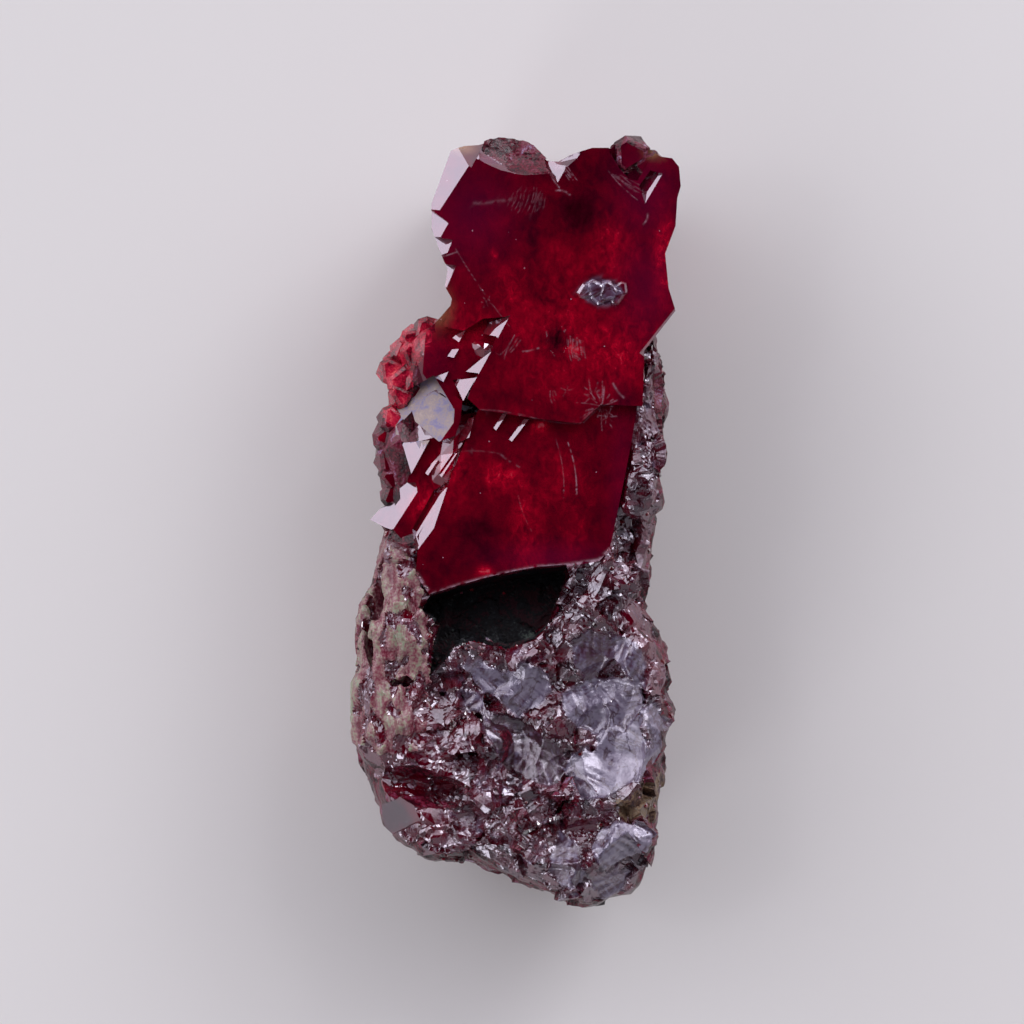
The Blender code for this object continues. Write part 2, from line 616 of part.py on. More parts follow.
def keep_largest_body(thing):
    """Drops slivers that a cut parted from the specimen, also where a corner still touches it."""
    form = bmesh.new()
    form.from_mesh(thing.data)
    unseen = set(form.faces)
    bodies = []
    while unseen:
        body = set()
        edge_of_search = [unseen.pop()]
        while edge_of_search:
            face = edge_of_search.pop()
            body.add(face)
            near = {other for edge in face.edges for other in edge.link_faces} & unseen
            unseen -= near
            edge_of_search.extend(near)
        bodies.append(body)
    bodies.sort(key=len)
    dropped = [face for body in bodies[:-1] for face in body]
    bmesh.ops.delete(form, geom=dropped, context="FACES")
    form.to_mesh(thing.data)
    form.free()
    print("loose slivers dropped:", len(bodies) - 1, "with faces:", len(dropped))


def stand_on_origin(thing):
    """Moves the mesh so that its box is centred on the Z axis and rests at height zero."""
    corners = [vertex.co for vertex in thing.data.vertices]
    low = Vector([min(corner[axis] for corner in corners) for axis in range(3)])
    high = Vector([max(corner[axis] for corner in corners) for axis in range(3)])
    shift = Vector((-(low.x + high.x) / 2, -(low.y + high.y) / 2, -low.z))
    thing.data.transform(Matrix.Translation(shift))
    return shift


def build():
    clear_scene()
    specimen = new_collection("cuprite_specimen")
    tools = new_collection("cutters")

    crystal = broken_body(specimen)
    gem = slab("gem", GEM_OUTLINE, GEM_BACK, GEM_FRONT, tools)
    boolean(crystal, clear_crystal(tools), "UNION")
    boolean(crystal, gem, "UNION")
    for name, outline, low, high in LEDGES:
        boolean(crystal, slab(name, outline, low, high, tools), "UNION")
    for name, outline, height in TERRACES:
        boolean(crystal, slab(name, outline, TERRACE_ROOT, height, tools), "UNION")
    settle(crystal)

    for name, centre, half_width, half_length, depth, turn in SHELLS:
        cutter = shell_cutter(name, centre, half_width, half_length, depth, turn, tools)
        boolean(crystal, cutter, "DIFFERENCE")
    settle(crystal)

    boolean(crystal, recess(tools), "DIFFERENCE", "MANIFOLD")
    hollow = slab("knob_hollow", KNOB_HOLLOW, KNOB_FLOOR, CRYSTAL_FRONT + 2.0, tools)
    boolean(crystal, hollow, "DIFFERENCE", "MANIFOLD")
    for name, outline, height in FLASH_STEPS:
        stub = slab(name + "_stub", outline, TERRACE_ROOT, height, tools)
        boolean(crystal, stub, "UNION", "MANIFOLD")
    for name, point, azimuth, tilt, half_width in CUT_FACES:
        cutter = face_cutter(name, point, azimuth, tilt, half_width, tools)
        boolean(crystal, cutter, "DIFFERENCE", "MANIFOLD")
    step_cuts = [(name, widened(outline, STEP_CUT), height) for name, outline, height in FLASH_STEPS]
    for name, outline, highest in FLASH_FACES + step_cuts:
        cutter = flash_cutter(name, outline, highest, tools)
        boolean(crystal, cutter, "DIFFERENCE", "MANIFOLD")
    pit = ellipsoid("pit", (*PIT_AT, CRYSTAL_FRONT), PIT_RADII, tools, detail=2)
    boolean(crystal, pit, "DIFFERENCE", "MANIFOLD")
    settle(crystal)

    small = GROWTH_CRYSTALS + CLUSTER_CRYSTALS + KNOB_CRYSTALS + PATCH_CRYSTALS
    for number, (place, radius, turn, flash) in enumerate(small):
        grown = lattice_crystal(f"small_crystal_{number}", place, radius, turn, flash, tools)
        boolean(crystal, grown, "UNION", "MANIFOLD")
    settle(crystal)

    cut_resting_face(crystal)
    keep_largest_body(crystal)
    shift = stand_on_origin(crystal)
    crystal.data.shade_flat()
    crystal.data.materials.clear()
    crystal.data.materials.append(cuprite_material())
    print("shift to the origin, mm:", [round(value / MM, 4) for value in shift])
    print("faces:", len(crystal.data.polygons))


build()
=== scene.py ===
# %% [markdown]
# # A cuprite specimen, dressed
# Cuprite is copper oxide. This piece is a clear, deep red crystal that grew together with smaller
# ones and broke off at a rough root with a lead-grey shine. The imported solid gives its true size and
# its main faces. This lesson adds what the eye meets up close: chips, shells, tiny crystals, the pale
# crust, the dark recess, and the see-through red body with light caught inside.

# %% Load the frame
import math
import random

import bmesh
import bpy
import numpy as np
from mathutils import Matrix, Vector, noise


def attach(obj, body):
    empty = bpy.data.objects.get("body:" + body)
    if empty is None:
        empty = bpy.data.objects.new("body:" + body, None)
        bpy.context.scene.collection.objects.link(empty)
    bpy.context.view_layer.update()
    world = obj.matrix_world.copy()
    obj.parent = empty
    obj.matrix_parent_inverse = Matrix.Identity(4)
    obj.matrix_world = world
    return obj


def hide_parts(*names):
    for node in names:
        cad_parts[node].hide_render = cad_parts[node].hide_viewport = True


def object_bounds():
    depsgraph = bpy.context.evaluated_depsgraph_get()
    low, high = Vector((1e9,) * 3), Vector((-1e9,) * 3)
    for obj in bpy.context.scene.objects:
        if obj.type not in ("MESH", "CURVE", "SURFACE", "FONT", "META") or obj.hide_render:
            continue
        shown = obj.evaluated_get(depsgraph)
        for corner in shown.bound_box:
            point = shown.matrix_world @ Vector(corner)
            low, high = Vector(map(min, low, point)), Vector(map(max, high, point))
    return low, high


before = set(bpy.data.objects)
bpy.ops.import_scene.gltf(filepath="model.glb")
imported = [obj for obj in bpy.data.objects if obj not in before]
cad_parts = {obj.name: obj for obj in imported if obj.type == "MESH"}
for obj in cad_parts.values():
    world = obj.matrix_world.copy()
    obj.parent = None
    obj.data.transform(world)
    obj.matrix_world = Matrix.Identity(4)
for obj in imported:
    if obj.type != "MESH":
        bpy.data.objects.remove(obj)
cad_low, cad_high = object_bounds()
MM = 0.001
print("the solid's box, mm:", [round(v / MM, 2) for v in (*cad_low, *cad_high)])

# %% [markdown]
# ## Where things lie
# The outlines below are sizes on the real specimen in millimetres, seen from above with the clear
# crystal's end up. They mark areas of the surface, such as the flat gem face or the pale crust, and
# the chips and the finishes read them. The middle of the box is not quite the middle of the outlines,
# so one small shift joins the two.

# %% Areas of the specimen
SHIFT = np.array((0.073, 0.185))
GEM_AREA = [
    (-2.1, 6.6), (1.1, 6.4), (4.0, 6.4), (7.1, 7.6), (7.0, 6.6), (6.7, 4.7), (6.2, 2.1),
    (5.4, -1.7), (4.8, -2.35), (2.9, -2.7), (1.4, -2.8), (-0.05, -3.05), (-1.6, -3.4),
    (-3.4, -3.9), (-4.9, -4.45), (-5.8, -3.1), (-5.6, -0.8), (-3.85, 2.35),
]
RECESS_AREA = [
    (-5.75, -5.0), (-4.9, -4.3), (-3.4, -3.8), (-1.6, -3.3), (-0.05, -2.95), (1.4, -2.7),
    (2.9, -2.6), (3.1, -3.3), (2.5, -4.75), (2.15, -5.9), (1.05, -7.0), (-0.5, -7.5),
    (-2.6, -7.0), (-3.5, -7.4), (-4.0, -8.05), (-5.1, -9.3), (-4.95, -7.3), (-4.6, -6.1),
]
CRUST_AREA = [
    (-7.6, -0.4), (-5.8, -3.1), (-5.3, -4.6), (-4.9, -6.9), (-5.1, -9.3), (-5.0, -11.6),
    (-5.3, -13.1), (-6.5, -13.6), (-8.2, -13.5), (-9.9, -12.8), (-10.4, -9.3), (-10.4, -4.6),
    (-8.9, -1.3),
]
OCHRE_AREA = [
    (5.5, -16.1), (6.4, -15.3), (7.5, -14.7), (8.4, -14.8), (8.6, -17.2), (7.5, -17.6), (5.9, -17.3),
]
GLASSY_AREAS = [
    [
        (-9.4, -12.9), (-6.8, -12.3), (-4.9, -12.9), (-3.1, -14.1), (-3.6, -16.2), (-3.9, -18.4),
        (-5.2, -18.9), (-8.0, -18.0), (-9.4, -15.6),
    ],
    [
        (5.9, -3.6), (7.5, -4.9), (8.2, -7.2), (8.6, -10.2), (7.9, -10.2), (7.3, -8.4), (6.7, -6.8),
        (5.6, -5.4),
    ],
]
SQUARE_FACE = [(-4.75, 8.4), (-4.0, 7.15), (-3.55, 6.4), (-3.6, 5.65), (-4.4, 4.5), (-7.0, 5.0), (-7.0, 7.2)]
TERRACE_AREA = [
    (-3.4, 12.9), (0.0, 11.9), (-1.4, 8.6), (-2.9, 5.2), (-3.9, 2.3), (-5.6, -1.8),
    (-9.5, -0.5), (-9.5, 12.0),
]
CLUSTER_AREA = [
    (-8.8, 6.9), (-8.8, 9.9), (-7.7, 11.8), (-6.0, 12.4), (-4.4, 11.9), (-4.9, 10.2), (-5.9, 8.6),
    (-6.0, 7.0), (-7.0, 5.3),
]
STRIP_AREA = [
    (7.2, 10.2), (8.4, 10.4), (9.2, 5.8), (8.4, 0.0), (7.4, -3.0), (4.9, -4.9), (3.4, -3.2), (4.9, -2.3),
    (6.5, 5.3),
]
CLEAR_AREA = [
    (-0.6, 12.2), (-1.6, 9.7), (-2.9, 7.0), (-2.1, 6.4), (1.1, 5.9), (4.9, 6.5), (7.2, 6.7), (7.4, 9.8),
    (8.9, 11.6), (8.9, 12.6), (-0.6, 12.6),
]
TOP_BREAKS = [
    [
        (-1.9, 21.2), (-0.9, 20.6), (-0.1, 20.0), (0.8, 19.5), (1.9, 19.2), (2.7, 19.2), (2.3, 20.3),
        (1.9, 21.0), (0.8, 22.2), (-0.6, 22.7), (-1.8, 22.4), (-2.4, 21.8),
    ],
    [(5.2, 21.5), (5.6, 20.3), (6.3, 19.4), (7.2, 19.1), (8.0, 20.3), (8.3, 21.5), (7.2, 22.7), (5.9, 22.9)],
]

# Shells left by breaking: outline, where the ripples start, and how pale the lead-grey sheen painted into
# them is
SHELLS = [
    ([
        (-3.1, -8.6), (-2.3, -8.0), (-1.6, -8.3), (-0.9, -8.8), (-0.2, -8.6), (0.5, -8.3), (1.7, -9.0),
        (1.9, -9.9), (1.4, -10.6), (0.7, -10.8), (0.1, -11.2), (-0.5, -10.6), (-1.3, -10.1), (-2.0, -9.7),
    ], (-4.4, -6.4), 0.95),
    ([
        (2.9, -10.0), (4.2, -9.5), (5.6, -9.2), (6.9, -9.5), (7.3, -10.4), (7.2, -11.7), (7.7, -13.1),
        (7.9, -14.2), (7.2, -15.1), (6.2, -15.3), (5.2, -15.8), (4.2, -16.1), (3.4, -15.7), (2.9, -14.4),
        (3.3, -13.8), (4.7, -13.2), (4.8, -12.5), (4.0, -12.1), (2.9, -11.2),
    ], (8.2, -7.6), 1.0),
    ([(7.8, -10.7), (8.6, -11.7), (8.8, -13.6), (8.4, -14.8), (7.8, -14.0), (7.6, -12.5)], (7.2, -9.9), 0.8),
    ([
        (-1.7, -11.1), (-0.6, -11.4), (0.8, -12.1), (2.3, -13.0), (2.9, -14.2), (2.6, -15.4),
        (1.4, -15.3), (-0.1, -14.4), (-1.1, -13.3), (-1.6, -12.5),
    ], (0.2, -9.9), 0.35),
    ([
        (4.8, -17.9), (6.2, -17.4), (7.5, -17.6), (8.5, -18.3), (7.5, -19.0), (6.2, -19.6), (5.1, -20.1),
        (4.7, -19.0),
    ], (8.4, -16.2), 0.85),
    ([(3.4, -7.2), (4.3, -6.5), (5.2, -6.9), (5.6, -7.8), (5.1, -8.8), (4.2, -9.3), (3.4, -8.6)],
     (2.6, -6.9), 0.5),
    ([(5.8, -6.9), (6.9, -7.4), (7.3, -8.6), (7.2, -9.9), (6.5, -8.8), (5.8, -8.1)], (4.9, -6.9), 0.75),
    ([(-8.1, -16.2), (-6.7, -16.5), (-6.3, -17.4), (-7.2, -18.1), (-7.8, -17.5)], (-20.0, -17.0), 0.15),
    ([(3.5, 13.1), (4.1, 13.7), (4.9, 13.9), (5.8, 13.7), (6.4, 13.1), (5.7, 12.5), (4.8, 12.4), (4.0, 12.6)],
     (2.0, 14.0), 0.75),
    ([(-3.1, -9.9), (-2.0, -10.1), (-1.9, -11.1), (-2.7, -10.9)], (-4.0, -9.0), 0.6),
    ([(1.9, -20.3), (2.6, -18.1), (3.3, -18.9), (3.8, -20.9), (2.7, -21.2)], (-2.0, -19.0), 0.45),
    ([(4.7, -21.0), (5.9, -20.2), (6.9, -20.4), (6.2, -21.4), (5.1, -21.8)], (3.0, -18.0), 0.6),
]
areas = [GEM_AREA, RECESS_AREA, CRUST_AREA, OCHRE_AREA, SQUARE_FACE, TERRACE_AREA, CLUSTER_AREA]
areas += [STRIP_AREA, CLEAR_AREA, *GLASSY_AREAS, *TOP_BREAKS]
print("areas set out:", len(areas), "and shells:", len(SHELLS))


# %% Measuring on outlines
# Less than any length and further than any distance here
TINY = 1e-9
FAR = 1e9


def gap_to(points, start, end):
    """Millimetres from each point, seen from above, to the straight line between two ends."""
    run = end - start
    along = np.clip(((points[:, :2] - start) @ run) / max(run @ run, TINY), 0.0, 1.0)
    away = points[:, :2] - start - along[:, None] * run
    return np.hypot(away[:, 0], away[:, 1])


def distance_inside(points, outline):
    """Millimetres from each point to an outline seen from above, positive inside it."""
    corners = np.array(outline) + SHIFT
    nearest = np.full(len(points), FAR)
    inside = np.zeros(len(points), bool)
    for start, end in zip(corners, np.roll(corners, -1, axis=0)):
        nearest = np.minimum(nearest, gap_to(points, start, end))
        spans = (start[1] > points[:, 1]) != (end[1] > points[:, 1])
        rise = end[1] - start[1] or TINY
        crossing = start[0] + (points[:, 1] - start[1]) * (end[0] - start[0]) / rise
        inside ^= spans & (points[:, 0] < crossing)
    return np.where(inside, nearest, -nearest)


def share(values, none_at, all_at):
    """0 at the first value, 1 at the second, straight in between."""
    return np.clip((values - none_at) / (all_at - none_at), 0.0, 1.0)


# %% [markdown]
# ## Hairlines on the flat front
# Healed cracks reach the polished-looking front as pale hairlines: a burst of rays, a fan, long bent
# scratches, feathery wisps. They have no height, so they are values on the surface's points and not
# forms. Each stroke is a start, an end, how far it bends sideways, a width and a strength, and the
# surface gets enough points beside it to draw it cleanly.

# %% Strokes
STROKES = [
    ((2.3, 4.7), (2.75, 1.3), -0.05, 0.018, 0.5), ((3.0, 4.5), (3.5, 1.5), -0.05, 0.026, 1.0),
    ((-3.5, 15.7), (-0.3, 11.1), 0.02, 0.018, 0.4), ((-2.1, 6.4), (1.1, 5.9), -0.03, 0.03, 0.35),
    ((1.1, 5.9), (3.7, 5.6), 0.03, 0.025, 0.25), ((3.7, 5.6), (4.9, 6.6), -0.06, 0.03, 0.3),
    ((-3.2, 4.0), (-0.9, 3.85), -0.04, 0.03, 0.2), ((-0.9, 3.85), (0.2, 3.1), 0.05, 0.045, 0.35),
    ((-2.4, 18.3), (-0.2, 18.55), 0.02, 0.09, 0.22), ((1.75, 20.3), (2.5, 19.2), 0.02, 0.03, 0.8),
    ((2.3, 19.05), (3.1, 18.8), -0.1, 0.045, 0.9), ((5.3, 20.2), (7.0, 18.5), 0.04, 0.022, 0.6),
    ((1.75, 10.9), (2.2, 9.5), 0.05, 0.025, 0.8), ((2.75, 10.9), (2.2, 9.6), 0.03, 0.025, 0.7),
    ((2.3, 10.3), (2.85, 11.0), 0.03, 0.022, 0.7), ((1.8, 10.3), (2.5, 9.9), -0.05, 0.022, 0.6),
    ((0.4, 9.75), (1.3, 9.95), 0.04, 0.04, 0.7), ((7.6, 17.7), (7.35, 17.1), -0.1, 0.045, 0.8),
    ((0.1, 1.6), (0.9, -0.6), 0.05, 0.018, 0.3), ((5.6, 7.9), (6.2, 7.1), 0.05, 0.05, 0.6),
    ((-4.6, 15.2), (-3.4, 15.5), 0.04, 0.035, 0.6), ((4.2, 8.2), (4.5, 7.0), 0.05, 0.02, 0.5),
]
STARS = [
    ((4.94, 6.6), 1.6, 19, 1.0), ((4.5, 7.3), 0.9, 9, 0.7), ((5.3, 6.0), 0.7, 7, 0.8),
    ((-1.7, 12.6), 0.5, 6, 0.6), ((2.9, 7.5), 0.5, 5, 0.4),
]
FANS = [
    ((3.05, 10.6), (3.2, 9.4), 0.1, 9, 0.7), ((-0.5, 18.0), (-0.1, 18.9), 0.14, 12, 0.35),
    ((1.0, 18.0), (1.1, 18.8), 0.1, 7, 0.3), ((2.25, 20.9), (3.1, 19.7), 0.1, 5, 0.9),
    ((5.5, 20.0), (6.7, 19.0), 0.12, 6, 0.5), ((2.0, 7.6), (2.1, 6.9), 0.12, 3, 0.5),
    ((-0.9, 9.6), (-0.3, 10.4), 0.2, 4, 0.5),
]
# A painted highlight along the gem's lower rim, drawn as pale strokes in the same way as the hairlines
GEM_RIM_HIGHLIGHT = [
    (-5.8, -3.0), (-4.95, -4.3), (-3.4, -3.78), (-1.6, -3.28), (-0.05, -2.93), (1.4, -2.68), (2.9, -2.58),
    (4.8, -2.3), (5.4, -1.7),
]
STAR_BEND = 0.03
FAN_WIDTH = 0.022
RIM_HIGHLIGHT_WIDTH = 0.1
RIM_HIGHLIGHT_STRENGTH = 1.2
STROKE_SEED = 40

chance = random.Random(STROKE_SEED)
strokes = list(STROKES)
for (x, y), reach, rays, strength in STARS:
    for ray in range(rays):
        angle = math.tau * (ray + chance.uniform(-0.4, 0.4)) / rays
        inner = reach * chance.uniform(0.02, 0.35)
        outer = reach * chance.uniform(0.4, 1.0)
        start = (x + inner * math.cos(angle), y + inner * math.sin(angle))
        end = (x + outer * math.cos(angle), y + outer * math.sin(angle))
        width = chance.uniform(0.016, 0.03)
        strokes.append((start, end, STAR_BEND, width, strength * chance.uniform(0.4, 1.0)))
for (x0, y0), (x1, y1), step, lines, strength in FANS:
    for line in range(lines):
        nudge = step * (line + chance.uniform(-0.3, 0.3))
        start = (x0 + nudge, y0 + chance.uniform(-0.3, 0.15))
        end = (x1 + nudge, y1 + chance.uniform(-0.2, 0.4))
        bend = chance.uniform(-0.04, 0.1)
        strokes.append((start, end, bend, FAN_WIDTH, strength * chance.uniform(0.5, 1.0)))
# The painted rim highlight joins the strokes
for start, end in zip(GEM_RIM_HIGHLIGHT, GEM_RIM_HIGHLIGHT[1:]):
    strokes.append((start, end, 0.0, RIM_HIGHLIGHT_WIDTH, RIM_HIGHLIGHT_STRENGTH))
print("strokes on the front:", len(strokes))


# %% How strongly a stroke marks each point
# A bent stroke is drawn as short straight runs, and fades out within a few of its widths
STROKE_STEPS = 7
FADED_WITHIN = 3.0


def stroke_marks(points, widen=0.0):
    """The strength of the strongest stroke at each point, seen from above."""
    strongest = np.zeros(len(points))
    widen = np.broadcast_to(widen, len(points))
    for start, end, bend, width, strength in strokes:
        start, end = np.array(start) + SHIFT, np.array(end) + SHIFT
        sideways = np.array((end[1] - start[1], start[0] - end[0]))
        steps = np.linspace(0.0, 1.0, STROKE_STEPS)[:, None]
        path = start + (end - start) * steps + sideways * bend * 4.0 * steps * (1.0 - steps)
        room = FADED_WITHIN * (width + widen.max(initial=0.0))
        near = (points[:, :2] > path.min(axis=0) - room) & (points[:, :2] < path.max(axis=0) + room)
        near = np.flatnonzero(near.all(axis=1))
        for first, second in zip(path, path[1:]):
            gap = gap_to(points[near], first, second) / (width + widen[near])
            strongest[near] = np.maximum(strongest[near], strength * np.exp(-gap * gap))
    return strongest


# %% [markdown]
# ## The crystal's skin, finely divided
# The solid's big flats stand for growth faces and stay flat. Its broken areas need far more points
# before they can carry chips. Long edges are split until they are short, which keeps every face flat
# and every crystal edge sharp, unlike a remesh.

# %% Copy the solid and split its edges
EDGES = {"shell": 0.13, "broken": 0.155, "stroke": 0.056, "flat": 0.46, "side": 0.42, "back": 1.0}
MOST_SPLITS = 10
SPLIT_OVER = 1.4
BACK_BELOW = 2.5
FRONT_ABOVE = 5.0
FLATS_ABOVE = 9.0
ROOT_BELOW = -5.0
FAINTEST_STROKE = 0.08

# Azimuth and tilt of the normals of the true crystal faces, which stay flat
FLAT_FACES = [(0.0, 0.0), (147.0, 35.26), (207.0, 54.74), (321.5, 54.74), (60.5, 50.0)]
SAME_WAY = math.cos(math.radians(0.7))


def way_of(azimuth, tilt):
    """Direction tilted away from straight up towards an azimuth counted from +X."""
    turn = math.radians(azimuth)
    lean = math.radians(tilt)
    return Vector((math.sin(lean) * math.cos(turn), math.sin(lean) * math.sin(turn), math.cos(lean)))


def merged_copy(node):
    """The node's loose triangles as one joined form."""
    joined = bmesh.new()
    joined.from_mesh(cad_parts[node].data)
    bmesh.ops.remove_doubles(joined, verts=joined.verts, dist=1e-7)
    return joined


def wanted_lengths(middles, lengths, upward, flat):
    """How long an edge may stay, by where its middle lies and how far up its faces look."""
    wanted = np.full(len(middles), EDGES["side"])
    wanted[middles[:, 2] < BACK_BELOW] = EDGES["back"]
    front = (upward > 0.25) & (middles[:, 2] > FRONT_ABOVE)
    wanted[front] = EDGES["broken"]
    for outline, start, sheen_paleness in SHELLS:
        wanted[front & (distance_inside(middles, outline) > -0.2)] = EDGES["shell"]
    wanted[flat] = EDGES["flat"]
    level = np.flatnonzero(flat & (upward > 0.99) & (lengths < 0.8))
    reach = 0.01 + 0.35 * lengths[level]
    wanted[level[stroke_marks(middles[level], reach) > FAINTEST_STROKE]] = EDGES["stroke"]
    return wanted


form = merged_copy("cuprite_crystal")
kept = form.faces.layers.int.new("kept")
flat_ways = [way_of(azimuth, tilt) for azimuth, tilt in FLAT_FACES]
for face in form.faces:
    straight = any(face.normal.dot(way) > SAME_WAY for way in flat_ways)
    middle = face.calc_center_median() / MM
    on_root = middle.y < ROOT_BELOW and face.normal.z > SAME_WAY
    face[kept] = straight and middle.z > FLATS_ABOVE and not on_root
for split in range(MOST_SPLITS):
    edges = [edge for edge in form.edges if edge.calc_length() > SPLIT_OVER * EDGES["stroke"] * MM]
    middles = np.array([(edge.verts[0].co + edge.verts[1].co) / 2 for edge in edges]) / MM
    upward = np.array([max(face.normal.z for face in edge.link_faces) for edge in edges])
    flat = np.array([all(face[kept] for face in edge.link_faces) for edge in edges])
    lengths = np.array([edge.calc_length() for edge in edges]) / MM
    chosen = lengths > SPLIT_OVER * wanted_lengths(middles, lengths, upward, flat)
    if not chosen.any():
        break
    long_edges = [edge for edge, split_it in zip(edges, chosen) if split_it]
    bmesh.ops.subdivide_edges(form, edges=long_edges, cuts=1)
    bmesh.ops.triangulate(form, faces=[face for face in form.faces if len(face.verts) > 3])
print("points after splitting:", len(form.verts), "triangles:", len(form.faces))

# %% [markdown]
# ## Chips
# Cuprite has no easy way to split, so it breaks into small uneven flats that each flash on their
# own. Space is cut into cells about scattered middles. Each cell carries one slope and one height, so
# that each becomes a little flat with a small step to its neighbour, and one tint, which sets how far
# its colour runs from dark red stain to a painted lead-grey sheen. Three sizes of cell together give
# large flats with smaller ones on them.

# %% Chip heights for many points at once
# Width of a cell in mm, steepest slope in degrees, height of the step to the next cell in mm
CHIPS = [(2.3, 20.0, 0.22), (1.0, 20.0, 0.12), (0.45, 17.0, 0.05)]
CHIP_SEED = 71

# Large odd numbers that turn a cell and a seed into numbers with no pattern
CELL_FACTORS = (73856093, 19349663, 83492791)
SEED_FACTOR = 2654435761
STIRS = ((15, 2246822519), (13, 3266489917))
WORD = 0xFFFFFFFF
LOW_BITS = 0xFFFFFF


def cell_numbers(cells, salt):
    """Three repeatable numbers from 0 to 1 for each whole-numbered cell."""
    mixed = np.bitwise_xor.reduce(cells * np.array(CELL_FACTORS), axis=1)
    mixed = (mixed + salt * SEED_FACTOR) & WORD
    numbers = []
    for turn in range(3):
        for shift, factor in STIRS:
            mixed = (mixed ^ (mixed >> shift)) * factor & WORD
        mixed = mixed ^ (mixed >> 16)
        numbers.append((mixed & LOW_BITS) / LOW_BITS)
    return np.stack(numbers, axis=1)


def chip_heights(points, size, slope, lift, seed):
    """Height of each point on the tilted flat of the cell that it lies in, and that flat's own tint."""
    scaled = points / size
    home = np.floor(scaled).astype(np.int64)
    nearest = np.full(len(points), FAR)
    height = np.zeros(len(points))
    tint = np.zeros(len(points))
    for step in np.ndindex(3, 3, 3):
        cell = home + np.array(step) - 1
        away = scaled - cell - cell_numbers(cell, seed)
        gap = np.einsum("ij,ij->i", away, away)
        lean = 2.0 * cell_numbers(cell, seed + 1) - 1.0
        on_flat = size * math.tan(math.radians(slope)) * np.einsum("ij,ij->i", away, lean)
        on_flat += lift * lean[:, 0]
        height = np.where(gap < nearest, on_flat, height)
        tint = np.where(gap < nearest, lean[:, 2], tint)
        nearest = np.minimum(nearest, gap)
    return height, tint


places = np.array([vertex.co for vertex in form.verts]) / MM
normals = np.array([vertex.normal for vertex in form.verts])
heights = places[:, 2]
(large, large_tint), (middling, middling_tint), (small, small_tint) = [
    chip_heights(places, size, slope, lift, CHIP_SEED + 10 * step)
    for step, (size, slope, lift) in enumerate(CHIPS)
]
tints = 0.5 * large_tint + 0.6 * middling_tint + 0.2 * small_tint
print("large chips, mm:", round(float(large.min()), 2), "to", round(float(large.max()), 2))

# %% [markdown]
# ## Ripples and ridges
# A shell fracture is smooth but for fine ripples round its start, like those in thick broken glass,
# and hairs that run out from it across them. The crust on the left flank flows in upright ridges
# instead, with windows where the dark red crystal shows.

# %% Ripples and hairs in the shells, and their painted lead-grey sheen
RIPPLE_LENGTH = 0.5
RIPPLE_HEIGHT = 0.027
HAIR_HEIGHT = 0.017
HAIR_WIDTH = 0.16
HAIR_LENGTH = 1.6
SWELL_HEIGHT = 0.045
SWELL_LENGTH = 4.7 * RIPPLE_LENGTH


def noise_at(points, scale, seed):
    """Smooth noise, one value from -1 to 1 for each point, with features of the scale's size."""
    shifted = points / np.array(scale) + seed
    return np.array([noise.noise(place) for place in shifted])


wander = noise_at(places, 1.6, 5.3)
fine_wander = noise_at(places, 0.6, 8.9)
edge_wander = 0.55 * wander + 0.35 * fine_wander
front = share(normals[:, 2], 0.2, 0.4) * (heights > 7.0)
shell = np.zeros(len(places))
painted_lead_sheen = np.zeros(len(places))
ripples = np.zeros(len(places))
streaks = np.zeros(len(places))
for outline, start, sheen_paleness in SHELLS:
    inside = share(distance_inside(places, outline) + 0.2 + 0.6 * edge_wander, -0.04, 0.12) * front
    away = places[:, :2] - np.array(start) - SHIFT
    far = np.hypot(away[:, 0], away[:, 1])
    around = np.arctan2(away[:, 1], away[:, 0]) * far.mean()
    wave = np.sin(math.tau * far / RIPPLE_LENGTH + 3.0 * wander + 0.8 * fine_wander)
    swell = np.sin(math.tau * far / SWELL_LENGTH + 2.5 * wander)
    hairs = noise_at(np.stack([around / HAIR_WIDTH, far / HAIR_LENGTH, wander], axis=1), 1.0, 31.0)
    height = RIPPLE_HEIGHT * wave * share(wander, -0.3, 0.3) + HAIR_HEIGHT * hairs + SWELL_HEIGHT * swell
    ripples = np.where(inside > shell, height, ripples)
    # The shell's lead-grey sheen is painted into its colour, streaked with the painted light and shade of its
    # ripples and hairs
    painted_lead_sheen = np.where(inside > shell, sheen_paleness, painted_lead_sheen)
    streak = 0.2 * wave * share(wander, -0.5, 0.1) + 0.75 * hairs + 0.12 * tints
    streaks = np.where(inside > shell, streak, streaks)
    shell = np.maximum(shell, inside)
ripples *= shell
painted_lead_sheen += streaks * shell
print("points in shells:", int((shell > 0.5).sum()))

# %% Ridges and windows on the crust
RIDGE_HEIGHT = 0.26
WINDOW_DEPTH = 0.16
off_floor = share(heights, 0.3, 2.0)
crust = distance_inside(places, CRUST_AREA) + 1.1 * edge_wander + 0.3 * noise_at(places, 0.35, 2.2)
crust = share(crust, -0.12, 0.12) * (heights > 1.5)
near_crust = np.flatnonzero(crust > 0)
ridges = np.zeros(len(places))
windows = np.zeros(len(places))
ridges[near_crust] = 1.0 - 2.4 * np.abs(noise_at(places[near_crust], (1.0, 3.6, 1.2), 3.7))
ridges[near_crust] += 0.5 * noise_at(places[near_crust], (0.4, 1.1, 0.5), 9.1)
ridges[near_crust] += 0.2 * noise_at(places[near_crust], 0.25, 4.4)
windows[near_crust] = share(noise_at(places[near_crust], (0.7, 1.4, 0.8), 12.6), 0.06, 0.2)
crust_relief = crust * off_floor * (RIDGE_HEIGHT * ridges - WINDOW_DEPTH * windows)
glassy = crust * windows
crust *= 1.0 - windows
tints = np.where(crust > 0.3, 1.3 * ridges, tints)

# %% Move the surface
# The round pit in the front is shallow and dark, so its floor is lifted close to the front face
PIT_MIDDLE = (2.35, 10.3)
PIT_RADII = (0.8, 1.0)
PIT_LIFT = 0.97
GREAT_FRONT = 12.9
RECESS_HEIGHTS = (7.5, 12.33)
TOP_FORMS_ABOVE = 8.0

